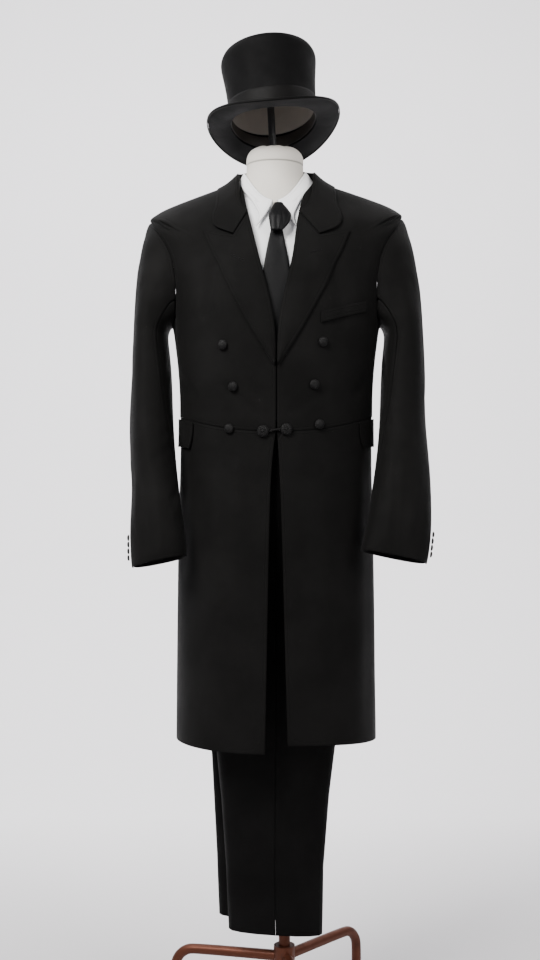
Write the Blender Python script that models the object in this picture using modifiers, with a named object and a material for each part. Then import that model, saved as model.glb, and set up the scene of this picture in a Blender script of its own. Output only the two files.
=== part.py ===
"""Undertaker's set on a limbless dress form: frock coat, trousers, shirt, tie and topper.

Metres, +Z up. The front faces -Y and the wearer's left is +X. Angles run in degrees round the
form, 0 at the front and +90 at the wearer's left. A level counts up the coat's table of rings.
The garment's own axis is the parent empty, which stands a little off the origin, so that the
origin lies at the bottom centre of the whole.
"""
import math
from bisect import bisect_right

import bmesh
import bpy
from mathutils import Matrix, Vector

# Driving sizes
AXIS_PLACE = (-0.004, 0.039, 0.0)
SEAM_GAP = 0.0004
COAT_CLOTH = 0.0020
SHIRT_CLOTH = 0.0010
TROUSER_CLOTH = 0.0015
FELT = 0.0026
SQUARENESS = 2.3
SHOULDER_LEAN = 0.016
HEM_STEP = 0.008

# Rings of the coat from hem to neck: heights at side, front and back, then half sizes
COAT_COLUMNS = ("level", "side_z", "front_z", "back_z", "half_width", "front_depth", "back_depth")
COAT_RINGS = [
    (0, 0.580, 0.580, 0.580, 0.1965, 0.141, 0.143),
    (1, 0.780, 0.780, 0.780, 0.1950, 0.139, 0.141),
    (2, 0.980, 0.980, 0.980, 0.1925, 0.136, 0.138),
    (3, 1.100, 1.090, 1.105, 0.1880, 0.131, 0.131),
    (4, 1.202, 1.170, 1.215, 0.1885, 0.127, 0.120),
    (5, 1.290, 1.265, 1.300, 0.1930, 0.131, 0.123),
    (6, 1.375, 1.355, 1.385, 0.2030, 0.135, 0.128),
    (7, 1.455, 1.430, 1.460, 0.2130, 0.130, 0.130),
    (8, 1.530, 1.495, 1.535, 0.2290, 0.119, 0.124),
    (9, 1.592, 1.545, 1.600, 0.2485, 0.104, 0.112),
    (10, 1.629, 1.574, 1.645, 0.1720, 0.092, 0.095),
    (11, 1.649, 1.590, 1.668, 0.1130, 0.083, 0.080),
    (12, 1.664, 1.601, 1.682, 0.0775, 0.074, 0.068),
]
WAIST_LEVEL = 4
NECK_LEVEL = 12
ARMHOLE_LEVELS = [6.25, 6.7, 7.2, 7.7, 8.2, 8.65, 9.0]
LOWER_LEVELS = [0, 0.8, 1.6, 2.4, 3.2, 4]
RIB_LEVELS = [4, 4.6, 5.2, 5.75, 6.25]
NECK_LEVELS = [9.0, 9.35, 9.8, 10.5, 11.2, 12]

# How deep the shirt and the form lie under the coat's face
UNDER_COLUMNS = ("level", "shirt", "form")
UNDER_DEPTHS = [
    (2.2, 0.030, 0.046),
    (3.0, 0.025, 0.0330),
    (4.0, 0.0270, 0.0350),
    (4.7, 0.0265, 0.0345),
    (5.5, 0.0190, 0.0270),
    (6.5, 0.0130, 0.0210),
    (8.0, 0.0110, 0.0190),
    (9.0, 0.0120, 0.0240),
    (9.6, 0.0110, 0.0190),
    (11.0, 0.0100, 0.0190),
    (12.0, 0.0105, 0.0220),
]
SHOULDER_SEAT = 0.0030
SHOULDER_SEAT_LEVELS = (9.0, 9.6, 10.5, 11.2)

# Front edges: width from the axis at each height, the roll of the lapel above the break
EDGE_COLUMNS = ("height", "right", "left")
FRONT_EDGES = [
    (0.570, 0.0215, 0.0215),
    (0.660, 0.0194, 0.0180),
    (0.870, 0.0157, 0.0130),
    (1.050, 0.0120, 0.0080),
    (1.140, 0.0070, 0.0030),
    (1.175, 0.0008, 0.0008),
    (1.210, 0.0008, 0.0008),
    (1.320, 0.0008, 0.0008),
    (1.350, 0.0008, 0.0008),
    (1.416, 0.0115, 0.0105),
    (1.490, 0.0300, 0.0280),
    (1.531, 0.0400, 0.0340),
    (1.577, 0.0510, 0.0400),
    (1.604, 0.0575, 0.0460),
    (1.640, 0.0640, 0.0540),
    (1.680, 0.0680, 0.0600),
]

# Seams round the body: angle from the front at each level
SEAM_COLUMNS = ("level", "side", "back")
SEAMS = [
    (0, 112, 132),
    (4, 80, 128),
    (5.2, 72, 122),
    (6.25, 68, 112),
    (7.2, 61, 112),
    (8.2, 62, 114),
    (8.65, 70, 110),
    (9, 92, 92),
    (9.3, 92, 92),
    (12, 92, 92),
]

# Peaked lapels and pockets on the coat's front: (width from the axis, height)
LAPEL_TIP = (0.0045, 1.292)
GORGE_HEIGHT = 1.586
NOTCH = (0.0810, 1.539)
PEAK = (0.1390, 1.550)
LAPEL_BELLY = (0.0880, 1.420)
COLLAR_CORNER = (0.1165, 1.553)
LAPEL_LIFT = 0.0026
LAPEL_SETBACK = 0.0006
COLLAR_LIFT = 0.0042
SHIRT_POINT = (0.0385, 1.560)
WELT = {"inner": (0.083, 1.394), "outer": (0.170, 1.419), "depth": 0.022}
FLAP = {
    "inner_angle": 54, "outer_angle": 98, "level": 3.97, "depth_levels": 0.55,
    "lift": 0.0030, "flare": 0.002, "corner_angle": 5.0,
}
FLAP_CLOTH = 0.0018

# Buttons: (name, width from the axis, height, diameter, thickness)
BUTTON_COLUMNS = ("name", "x", "z", "diameter", "thickness")
FRONT_BUTTONS = [
    ("button_right_top", -0.1000, 1.332, 0.019, 0.0065),
    ("button_right_middle", -0.0807, 1.254, 0.019, 0.0065),
    ("button_right_waist", -0.0880, 1.176, 0.019, 0.0065),
    ("button_left_top", 0.0864, 1.337, 0.019, 0.0065),
    ("button_left_middle", 0.0706, 1.258, 0.019, 0.0065),
    ("button_left_waist", 0.0799, 1.184, 0.019, 0.0065),
    ("link_button_right", -0.0250, 1.171, 0.023, 0.0080),
    ("link_button_left", 0.0185, 1.1745, 0.023, 0.0080),
]
CUFF_BUTTONS_EACH = 4
CUFF_BUTTON_STAND = 0.0006

# Sleeves: height, then outer, inner, front and back reach of each section
SLEEVE_COLUMNS = ("height", "outer", "inner", "front", "back")
SLEEVES = {
    "right": [
        (1.360, 0.2795, 0.2105, -0.084, 0.086),
        (1.296, 0.2835, 0.2000, -0.086, 0.080),
        (1.197, 0.2890, 0.1965, -0.092, 0.064),
        (1.125, 0.2840, 0.1915, -0.108, 0.036),
        (1.066, 0.2740, 0.1850, -0.123, 0.006),
        (1.000, 0.2760, 0.1760, -0.142, -0.034),
        (0.945, 0.2740, 0.1680, -0.150, -0.058),
        (0.926, 0.2710, 0.1675, -0.151, -0.062),
    ],
    "left": [
        (1.360, 0.2880, 0.2105, -0.084, 0.086),
        (1.296, 0.2925, 0.2000, -0.088, 0.080),
        (1.197, 0.2905, 0.1970, -0.098, 0.050),
        (1.125, 0.2950, 0.1900, -0.118, 0.022),
        (1.066, 0.2950, 0.1810, -0.134, -0.010),
        (1.000, 0.2930, 0.1720, -0.150, -0.045),
        (0.950, 0.2850, 0.1600, -0.156, -0.072),
        (0.936, 0.2810, 0.1560, -0.157, -0.076),
    ],
}
SLEEVE_HEAD_ROWS = 4
CUFF_FALL_OUT = 0.20
CUFF_FALL_BACK = 0.16
CUFF_TWIST = 62
FORE_SEAM_COLUMN = 1
HIND_SEAM_COLUMN = 9

# Trouser legs, turned so that the near leg's side seam faces the front: height, then reaches
LEG_COLUMNS = ("height", "left", "right", "near", "far", "fold")
NEAR_LEG = [
    (0.204, -0.0915, 0.0890, -0.047, 0.0045, -0.021),
    (0.330, -0.0960, 0.0905, -0.050, 0.0045, -0.021),
    (0.470, -0.1060, 0.1020, -0.056, 0.0045, -0.021),
    (0.640, -0.1240, 0.1230, -0.066, 0.0045, -0.022),
    (0.820, -0.1480, 0.1480, -0.084, 0.0045, -0.022),
    (0.965, -0.1640, 0.1640, -0.104, 0.0045, -0.020),
]
FAR_LEG = [
    (0.204, -0.1130, 0.0680, 0.036, 0.080, 0.058),
    (0.330, -0.1170, 0.0720, 0.034, 0.082, 0.058),
    (0.470, -0.1240, 0.0840, 0.030, 0.086, 0.057),
    (0.640, -0.1330, 0.1080, 0.022, 0.092, 0.054),
    (0.820, -0.1500, 0.1420, 0.012, 0.100, 0.044),
    (0.965, -0.1640, 0.1640, 0.0055, 0.108, 0.028),
]
SEAT_COLUMNS = ("height", "half_width", "near_depth", "far_depth")
SEAT_RINGS = [
    (1.000, 0.1700, 0.110, 0.112),
    (1.050, 0.1710, 0.113, 0.115),
    (1.110, 0.1700, 0.1130, 0.1140),
    (1.190, 0.1705, 0.1120, 0.1040),
]
SEAT_TURNS = (0, 20, 40, 60, 77, 81, 84, 87, 90)
WAISTBAND_HEIGHT = 0.040
HEM_SLANT = -0.060

# Tie: height and half width down the blade, and the knot
TIE_COLUMNS = ("height", "centre", "half_width")
TIE_BLADE = [
    (1.5555, 0.0005, 0.0108),
    (1.490, 0.0000, 0.0240),
    (1.400, 0.0010, 0.0340),
    (1.300, 0.0020, 0.0400),
    (1.230, 0.0020, 0.0400),
    (1.190, 0.0020, 0.0030),
]
TIE_KNOT = [
    (1.606, 0.0042, 0.0078),
    (1.598, 0.0050, 0.0130),
    (1.588, 0.0058, 0.0200),
    (1.576, 0.0072, 0.0225),
    (1.566, 0.0055, 0.0180),
    (1.5575, 0.0012, 0.0122),
]
KNOT_STAND = 0.0075
KNOT_HALF_DEPTH = 0.0068
KNOT_END_HALF_DEPTH = 0.0052
TIE_DEPTH = 0.0052
TIE_CLOTH = 0.0034

# Form, hat and stand
FORM_BOTTOM = 1.006
NECK_X = -0.0025
NECK_TOP = 1.694
NECK_RADIUS = (0.0560, 0.0540)
HAT_CENTRE = Vector((-0.0050, -0.001, 1.7820))
HAT_TILT = 8.9
HAT_YAW = 1.0
HAT_ROLL = -4.8
HAT_OVAL = 0.013
POST_RADIUS = 0.0075
POLE_PLACE = (0.016, -0.014)
POLE_RADIUS = 0.0115
TUBE_RADIUS = 0.0105
HUB_HEIGHT = 0.153
LEG_REACH = 0.222
LEG_BEND = 0.040
LEG_AZIMUTHS = (47, 167, 287)
FOOT_RADIUS = 0.013
FOOT_HEIGHT = 0.012

COLLECTION = "undertaker_costume"


class Curve:
    """A smooth curve through the rows of a table, held level past its ends."""

    def __init__(self, places, values):
        self.places = list(places)
        self.values = list(values)
        last = len(self.places) - 1
        self.slopes = []
        for i in range(last + 1):
            below, above = max(i - 1, 0), min(i + 1, last)
            rise = self.values[above] - self.values[below]
            self.slopes.append(rise / (self.places[above] - self.places[below]))

    def __call__(self, place):
        place = min(max(place, self.places[0]), self.places[-1])
        i = min(bisect_right(self.places, place) - 1, len(self.places) - 2)
        span = self.places[i + 1] - self.places[i]
        t = (place - self.places[i]) / span
        low, high = self.values[i], self.values[i + 1]
        bend = (high - low) * t * t * (3 - 2 * t)
        lead = self.slopes[i] * span * t * (1 - t) ** 2
        trail = self.slopes[i + 1] * span * t * t * (1 - t)
        return low + bend + lead - trail


def curves(columns, rows):
    """One Curve for each column of a table, read by the table's first column."""
    rows = sorted(rows)
    places = [row[0] for row in rows]
    return {name: Curve(places, [row[i] for row in rows]) for i, name in enumerate(columns) if i}


COAT = curves(COAT_COLUMNS, COAT_RINGS)
UNDER = curves(UNDER_COLUMNS, UNDER_DEPTHS)
EDGE = curves(EDGE_COLUMNS, FRONT_EDGES)
SEAM = curves(SEAM_COLUMNS, SEAMS)


def blend(low, high, share):
    return low + (high - low) * share


def ease(start, end, value):
    """0 below start, 1 above end, and smooth between."""
    t = min(max((value - start) / (end - start), 0.0), 1.0)
    return t * t * (3 - 2 * t)


def bulge(value):
    """The superellipse's share of a half size for a sine or cosine."""
    return math.copysign(abs(value) ** (2 / SQUARENESS), value)


def body_point(angle, level):
    """Point of the coat's face at an angle round the form and a level of its table."""
    s, c = math.sin(math.radians(angle)), math.cos(math.radians(angle))
    end = "front" if c > 0 else "back"
    x = COAT["half_width"](level) * bulge(s)
    y = -COAT[end + "_depth"](level) * bulge(c)
    side_z = COAT["side_z"](level)
    z = side_z + (COAT[end + "_z"](level) - side_z) * c * c
    z += SHOULDER_LEAN * x * ease(1.30, 1.58, z)
    if c > 0:
        z += math.copysign(HEM_STEP, x) * c * c * (1 - ease(0, 2, level))
    return Vector((x, y, z))


def body_normal(angle, level):
    """Direction out of the coat's face."""
    along = body_point(angle + 1.5, level) - body_point(angle - 1.5, level)
    up = body_point(angle, level + 0.05) - body_point(angle, level - 0.05)
    return along.cross(up).normalized()


def on_body(angle, level, out=0.0):
    """Point at a distance out of the coat's face."""
    return body_point(angle, level) + body_normal(angle, level) * out


def front_spot(x, z):
    """Angle and level of the point of the front that lies at a width and a height."""
    low, high = 0.0, 12.0
    for _ in range(36):
        level = (low + high) / 2
        share = min(abs(x) / COAT["half_width"](level), 1.0)
        angle = math.copysign(math.degrees(math.asin(share ** (SQUARENESS / 2))), x)
        if body_point(angle, level).z < z:
            low = level
        else:
            high = level
    return angle, level


def on_front(x, z, out=0.0):
    """Point at a distance out of the front's face, found by width and height."""
    return on_body(*front_spot(x, z), out)


def edge_angle(side, level):
    """Angle at which a forepart's or skirt's front edge lies on a level, 0 or more."""
    name = "left" if side > 0 else "right"
    low, high = -10.0, 89.0
    for _ in range(30):
        angle = (low + high) / 2
        point = body_point(side * angle, level)
        if side * point.x < EDGE[name](point.z):
            low = angle
        else:
            high = angle
    return angle


def shoulder_seat(angle, level):
    """How far a spot belongs to the ridge of the shoulder, where the layers rest on each other."""
    first, full, fade, last = SHOULDER_SEAT_LEVELS
    off_ridge = abs(abs((angle + 180) % 360 - 180) - 92)
    return ease(first, full, level) * (1 - ease(fade, last, level)) * (1 - ease(15, 40, off_ridge))


def shirt_depth(angle, level):
    return blend(UNDER["shirt"](level), SHOULDER_SEAT, shoulder_seat(angle, level))


def shirt_out(angle, level):
    return -shirt_depth(angle, level)


def form_depth(angle, level):
    seated = SHOULDER_SEAT + SHIRT_CLOTH + 0.0035
    return blend(UNDER["form"](level), seated, shoulder_seat(angle, level))


def make_material(name, colour, roughness, metallic=0.0):
    made = bpy.data.materials.new(name)
    made.use_nodes = True
    surface = made.node_tree.nodes["Principled BSDF"]
    surface.inputs["Base Color"].default_value = (*colour, 1)
    surface.inputs["Roughness"].default_value = roughness
    surface.inputs["Metallic"].default_value = metallic
    return made


def add_mesh(name, points, faces, material):
    """One closed solid of a collection, with its faces turned outward."""
    mesh = bpy.data.meshes.new(name)
    mesh.from_pydata([tuple(p) for p in points], [], faces)
    work = bmesh.new()
    work.from_mesh(mesh)
    bmesh.ops.recalc_face_normals(work, faces=work.faces)
    work.to_mesh(mesh)
    work.free()
    made = bpy.data.objects.new(name, mesh)
    made.data.materials.append(material)
    mesh.shade_smooth()
    mesh.set_sharp_from_angle(angle=math.radians(40))
    made.parent = AXIS
    bpy.data.collections[COLLECTION].objects.link(made)
    return made


def draw_in(grid, rows=True, columns=True, gap=SEAM_GAP / 2):
    """Move the edge points of a grid a little towards the next ones, for the seams."""
    moved = [[Vector(p) for p in row] for row in grid]
    height, width = len(grid), len(grid[0])
    if rows:
        for j in range(width):
            for edge, near in ((0, 1), (height - 1, height - 2)):
                moved[edge][j] += (grid[near][j] - grid[edge][j]).normalized() * gap
    if columns:
        for i in range(height):
            for edge, near in ((0, 1), (width - 1, width - 2)):
                moved[i][edge] += (grid[i][near] - grid[i][edge]).normalized() * gap
    return moved


def wall(name, face, back, material, closed=False):
    """A cloth wall between two grids of points; closed joins its last column to its first."""
    height, width = len(face), len(face[0])
    count = height * width
    points = [p for row in face for p in row] + [p for row in back for p in row]
    turns = width if closed else width - 1
    faces = []
    for i in range(height - 1):
        for j in range(turns):
            k = (j + 1) % width
            cell = [i * width + j, i * width + k, (i + 1) * width + k, (i + 1) * width + j]
            faces.append(cell)
            faces.append([count + n for n in reversed(cell)])
    for i in (0, height - 1):
        for j in range(turns):
            a, b = i * width + j, i * width + (j + 1) % width
            faces.append([a, b, count + b, count + a])
    if not closed:
        for j in (0, width - 1):
            for i in range(height - 1):
                a, b = i * width + j, (i + 1) * width + j
                faces.append([a, b, count + b, count + a])
    return add_mesh(name, points, faces, material)


def grid_normals(grid, closed=False):
    """Normals of a grid of points, rows going up and columns to the wearer's left."""
    height, width = len(grid), len(grid[0])
    normals = []
    for i in range(height):
        row = []
        for j in range(width):
            right = (j + 1) % width if closed else min(j + 1, width - 1)
            left = (j - 1) % width if closed else max(j - 1, 0)
            up = grid[min(i + 1, height - 1)][j] - grid[max(i - 1, 0)][j]
            row.append((grid[i][right] - grid[i][left]).cross(up).normalized())
        normals.append(row)
    return normals


def backed(grid, normals, thickness):
    """The hidden grid of a wall, a thickness behind the shown one."""
    return [[p - n * thickness for p, n in zip(row, ns)] for row, ns in zip(grid, normals)]


def body_panel(name, spots, material, out=0.0, thickness=COAT_CLOTH):
    """A wall on the coat's face from rows of (angle, level) spots; out may be a function of both."""
    depth = out if callable(out) else lambda angle, level: out
    face = [[on_body(a, l, depth(a, l)) for a, l in row] for row in spots]
    back = [[on_body(a, l, depth(a, l) - thickness) for a, l in row] for row in spots]
    return wall(name, draw_in(face), draw_in(back), material)


def loft(name, rings, material):
    """A closed solid through rings of points, with a fan at each end."""
    width = len(rings[0])
    points = [p for ring in rings for p in ring]
    faces = []
    for i in range(len(rings) - 1):
        for j in range(width):
            k = (j + 1) % width
            faces.append([i * width + j, i * width + k, (i + 1) * width + k, (i + 1) * width + j])
    faces.append(list(reversed(range(width))))
    faces.append([(len(rings) - 1) * width + j for j in range(width)])
    return add_mesh(name, points, faces, material)


def turned(name, profile, steps, material):
    """A turned solid from a profile of (radius, height) that runs from the axis, out and down."""
    mesh = bpy.data.meshes.new(name)
    mesh.from_pydata([(r, 0, z) for r, z in profile], [(i, i + 1) for i in range(len(profile) - 1)], [])
    made = bpy.data.objects.new(name, mesh)
    made.data.materials.append(material)
    bpy.data.collections[COLLECTION].objects.link(made)
    screw = made.modifiers.new("turn", "SCREW")
    screw.steps = steps
    screw.render_steps = steps
    screw.use_merge_vertices = True
    screw.merge_threshold = 0.00001
    made.parent = AXIS
    return made


def ring_of(centre, half_x, half_y, height, count, squareness=2.0):
    """Points of a level oval ring, from the front round by the wearer's left."""
    share = 2 / squareness
    points = []
    for i in range(count):
        turn = 2 * math.pi * i / count
        s, c = math.sin(turn), math.cos(turn)
        x = centre[0] + half_x * math.copysign(abs(s) ** share, s)
        y = centre[1] - half_y * math.copysign(abs(c) ** share, c)
        points.append(Vector((x, y, height)))
    return points


def signed(rows, side):
    """Spots mirrored to a side of the body."""
    return [[(side * angle, level) for angle, level in row] for row in rows]


def spread(first, last, cells):
    return [first + (last - first) * j / cells for j in range(cells + 1)]


# Coat body

FOREPART_CELLS = 7
SIDE_CELLS = 3
BACK_CELLS = 5


def side_names():
    return ((1, "left"), (-1, "right"))


def coat_panels(cloth):
    """Foreparts, side bodies, backs and skirts, sharing their seam points."""
    upper = RIB_LEVELS + ARMHOLE_LEVELS[1:] + NECK_LEVELS[1:]
    for side, word in side_names():
        forepart = [
            [(a, level) for a in spread(edge_angle(side, level), SEAM["side"](level), FOREPART_CELLS)]
            for level in upper
        ]
        body_panel("coat_forepart_" + word, signed(forepart, side), cloth)

        side_body = []
        for level in RIB_LEVELS:
            angles = spread(SEAM["side"](level), SEAM["back"](level), SIDE_CELLS)
            dips = armpit_dips() if level == RIB_LEVELS[-1] else [0] * (SIDE_CELLS + 1)
            side_body.append([(a, level - dip) for a, dip in zip(angles, dips)])
        body_panel("coat_side_body_" + word, signed(side_body, side), cloth)

        back = [
            [(a, level) for a in spread(SEAM["back"](level), 180, BACK_CELLS)]
            for level in LOWER_LEVELS[:-1] + upper
        ]
        body_panel("coat_back_" + word, signed(back, side), cloth)

        skirt = []
        for level in LOWER_LEVELS:
            first, last = edge_angle(side, level), SEAM["back"](level)
            skirt.append([(first + (last - first) * share, level) for share in skirt_shares(side)])
        body_panel("coat_skirt_" + word, signed(skirt, side), cloth)


def armpit_dips():
    """How far the side body's top edge dips below the armhole's ends, in levels."""
    return [0.25 * math.sin(math.pi * j / SIDE_CELLS) for j in range(SIDE_CELLS + 1)]


def skirt_shares(side):
    """Places of the skirt's columns, so that its top meets the forepart and the side body."""
    first = edge_angle(side, WAIST_LEVEL)
    middle, last = SEAM["side"](WAIST_LEVEL), SEAM["back"](WAIST_LEVEL)
    angles = spread(first, middle, FOREPART_CELLS) + spread(middle, last, SIDE_CELLS)[1:]
    return [(a - first) / (last - first) for a in angles]


# Sleeves

def armhole(side):
    """Armhole points from the low front, up over the shoulder, down the back and under the arm."""
    front = [(SEAM["side"](level), level) for level in ARMHOLE_LEVELS]
    back = [(SEAM["back"](level), level) for level in reversed(ARMHOLE_LEVELS[:-1])]
    level = RIB_LEVELS[-1]
    angles = spread(SEAM["side"](level), SEAM["back"](level), SIDE_CELLS)
    under = [(a, level - dip) for a, dip in zip(angles, armpit_dips())][1:-1]
    loop = front + back + list(reversed(under))
    return [(side * angle, level) for angle, level in loop]


def sleeve_point(side, reach, turn, height):
    """Point of a sleeve section: turn 0 is the front, 90 outward, 180 the back."""
    s, c = math.sin(math.radians(turn)), math.cos(math.radians(turn))
    outer, inner = reach["outer"](height), reach["inner"](height)
    front, back = reach["front"](height), reach["back"](height)
    x = (outer + inner) / 2 + (outer - inner) / 2 * bulge(s)
    y = (front + back) / 2 - (back - front) / 2 * bulge(c)
    return Vector((side * x, y, height))


def sleeve_grid(side, word):
    """Rows of a sleeve from the armhole to the cuff, one column for each armhole point."""
    rows = SLEEVES[word]
    reach = curves(SLEEVE_COLUMNS, rows)
    loop = [body_point(a, l) for a, l in armhole(side)]
    middle = sum(loop, Vector()) / len(loop)
    tall = max(abs(p.z - middle.z) for p in loop)
    deep = max(abs(p.y - middle.y) for p in loop)
    turns = [math.degrees(math.atan2((p.z - middle.z) / tall, -(p.y - middle.y) / deep)) for p in loop]

    top = rows[0][0]
    cuff = rows[-1][0]
    head = []
    for step in range(SLEEVE_HEAD_ROWS):
        t = step / SLEEVE_HEAD_ROWS
        row = []
        for start, turn in zip(loop, turns):
            end = sleeve_point(side, reach, turn, top)
            rise = max(math.sin(math.radians(turn)), 0)
            out = start + Vector((side * blend(0.012, 0.020, rise), 0, -0.004 * rise))
            over = end + Vector((0, 0, (start.z - end.z) * blend(0.30, 0.55, rise)))
            row.append(
                start * (1 - t) ** 3
                + out * 3 * t * (1 - t) ** 2
                + over * 3 * t * t * (1 - t)
                + end * t ** 3
            )
        head.append(row)

    arm = []
    for height, *_ in rows:
        down = (top - height) / (top - cuff)
        row = []
        for turn in turns:
            twisted = turn - CUFF_TWIST * ease(0.1, 0.9, down)
            point = sleeve_point(side, reach, twisted, height)
            outward = side * point.x - (reach["outer"](height) + reach["inner"](height)) / 2
            backward = point.y - (reach["front"](height) + reach["back"](height)) / 2
            fall = CUFF_FALL_OUT * outward + CUFF_FALL_BACK * backward
            point.z -= fall * ease(0.55, 1, down)
            row.append(point)
        arm.append(row)
    return head + arm, turns


def sleeves(cloth):
    """Top and under sleeve of each arm, cut from one tube at its two seams."""
    for side, word in side_names():
        grid, turns = sleeve_grid(side, word)
        normals = grid_normals(grid, closed=True)
        normals = [[n * -side for n in row] for row in normals]
        spots = armhole(side)
        for j, (turn, spot) in enumerate(zip(turns, spots)):
            rise = max(math.sin(math.radians(turn)), 0)
            normals[0][j] = (normals[0][j] * (1 - rise) + body_normal(*spot) * rise).normalized()
        back = backed(grid, normals, COAT_CLOTH)
        width = len(grid[0])
        top = list(range(FORE_SEAM_COLUMN, HIND_SEAM_COLUMN + 1))
        under = [j % width for j in range(HIND_SEAM_COLUMN, FORE_SEAM_COLUMN + width + 1)]
        for name, columns in (("top", top), ("under", under)):
            shown = draw_in([[row[j] for j in columns] for row in grid])
            hidden = draw_in([[row[j] for j in columns] for row in back])
            wall(f"sleeve_{name}_{word}", shown, hidden, cloth)
        cuff_buttons(side, word, grid, normals)


# Collar, lapels, pockets and buttons

def gorge_start(side):
    """Where the gorge seam leaves the roll of the lapel."""
    return EDGE["left" if side > 0 else "right"](GORGE_HEIGHT) + LAPEL_SETBACK, GORGE_HEIGHT


def lapel(side, word, cloth):
    """A peaked lapel folded back on the forepart, from its tip up to the gorge and the peak."""
    rows, cells = 11, 5
    gorge = gorge_start(side)
    face, back = [], []
    for i in range(rows + 1):
        v = i / rows
        roll_z = blend(LAPEL_TIP[1] + 0.010, GORGE_HEIGHT, v)
        roll_x = EDGE[word](roll_z) + LAPEL_SETBACK
        outer_x = LAPEL_TIP[0] * (1 - v) ** 2 + 2 * v * (1 - v) * LAPEL_BELLY[0] + v * v * PEAK[0]
        outer_z = LAPEL_TIP[1] * (1 - v) ** 2 + 2 * v * (1 - v) * LAPEL_BELLY[1] + v * v * PEAK[1]
        face_row, back_row = [], []
        for j in range(cells + 1):
            u = j / cells
            x, z = blend(roll_x, outer_x, u), blend(roll_z, outer_z, u)
            if u < 0.4:
                top_x, top_z = blend(gorge[0], NOTCH[0], u / 0.4), blend(gorge[1], NOTCH[1], u / 0.4)
            else:
                top_x = blend(NOTCH[0], PEAK[0], (u - 0.4) / 0.6)
                top_z = blend(NOTCH[1], PEAK[1], (u - 0.4) / 0.6)
            pull = v ** 5
            x += pull * (top_x - blend(gorge[0], PEAK[0], u))
            z += pull * (top_z - blend(gorge[1], PEAK[1], u))
            lift = LAPEL_LIFT + 0.0045 * math.sin(math.pi * min(u / 0.9, 1)) * (1 - 0.6 * v)
            face_row.append(on_front(side * x, z, lift))
            back_row.append(on_front(side * x, z, lift - 0.0019))
        face.append(face_row)
        back.append(back_row)
    wall("lapel_" + word, draw_in(face), draw_in(back), cloth)


# Path of the collar from its front end to the centre back: the spots where its roll rests and where
# its leaf ends, then how high the roll stands
COLLAR_COLUMNS = ("share", "roll_angle", "roll_level", "leaf_angle", "leaf_level", "stand")
COLLAR_PATH = [
    (0.22, 58, 11.85, 42, 10.15, 0.0060),
    (0.40, 78, 12.00, 67, 10.85, 0.0120),
    (0.55, 98, 12.00, 95, 11.00, 0.0150),
    (0.72, 126, 12.00, 124, 10.80, 0.0170),
    (0.86, 153, 12.00, 152, 10.50, 0.0185),
    (1.00, 180, 12.00, 180, 10.40, 0.0190),
]
COLLAR_NOTCH_SHARE = 0.45
GORGE_GAP = 0.0026


def collar_end_spot(side, u):
    """Spot of the collar's front end, along the gorge to the notch and out to the corner."""
    if u < COLLAR_NOTCH_SHARE:
        first, last, t = gorge_start(side), NOTCH, u / COLLAR_NOTCH_SHARE
    else:
        first, last, t = NOTCH, COLLAR_CORNER, (u - COLLAR_NOTCH_SHARE) / (1 - COLLAR_NOTCH_SHARE)
    x, z = blend(first[0], last[0], t), blend(first[1], last[1], t)
    return front_spot(side * x, z + GORGE_GAP)


def collar_columns(side):
    """Columns of the collar's half, from its front end to the centre back."""
    path = curves(COLLAR_COLUMNS, COLLAR_PATH)
    first = COLLAR_PATH[0][0]
    leaf_shares = (0.10, 0.28, COLLAR_NOTCH_SHARE, 0.72, 1.0)
    shares = [0.0, 0.055, 0.11, 0.165] + [first + (1 - first) * j / 8 for j in range(9)]
    columns = []
    for share in shares:
        if share < first:
            near = share / first
            low = collar_end_spot(side, 0)
            high = side * path["roll_angle"](first), path["roll_level"](first)
            roll_spot = blend(low[0], high[0], near), blend(low[1], high[1], near)
            stand = blend(0.0015, path["stand"](first), near ** 1.5)
        else:
            roll_spot = side * path["roll_angle"](share), path["roll_level"](share)
            stand = path["stand"](share)
        base = on_body(*roll_spot, COLLAR_LIFT)
        inward = Vector((-base.x, -base.y, 0)).normalized()
        up = Vector((0, 0, 1))
        roll = base + up * stand + inward * stand * 0.25
        fold = ease(0.05, first + 0.12, share)
        foot = roll + inward * 0.0034 - up * (0.003 + stand * 0.55)
        inner = roll + inward * 0.0030 - up * 0.0026
        flat = [on_body(*roll_spot, COLLAR_LIFT + 0.0001 * k) for k in range(3)]
        leaf = []
        for u in leaf_shares:
            if share < first:
                near = share / first
                low = collar_end_spot(side, u)
                far = (side * path["leaf_angle"](first), path["leaf_level"](first))
                turned_spot = side * path["roll_angle"](first), path["roll_level"](first)
                high = blend(turned_spot[0], far[0], u), blend(turned_spot[1], far[1], u)
                spot = blend(low[0], high[0], near), blend(low[1], high[1], near)
            else:
                far = side * path["leaf_angle"](share), path["leaf_level"](share)
                spot = blend(roll_spot[0], far[0], u), blend(roll_spot[1], far[1], u)
            leaf.append(on_body(*spot, COLLAR_LIFT) + (roll - base) * (1 - u) ** 2)
        if share < first:
            spots = [collar_end_spot(side, v) for v in (0.0, 0.02, 0.05)]
            near = share / first
            flat = [
                on_body(blend(a, roll_spot[0], near), blend(l, roll_spot[1], near), COLLAR_LIFT)
                for a, l in spots
            ]
        column = [blend(f, r, fold) for f, r in zip(flat, (foot, inner, roll))] + leaf
        columns.append(column)
    return columns


def coat_collar(cloth):
    """The turned-down collar round the neck: inside of the stand, roll, and leaf to its edge."""
    left = collar_columns(1)
    right = collar_columns(-1)
    columns = left + right[-2::-1]
    face = [[column[i] for column in columns] for i in range(len(columns[0]))]
    normals = grid_normals(face)
    wall("coat_collar", face, backed(face, normals, -0.0017), cloth)


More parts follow.
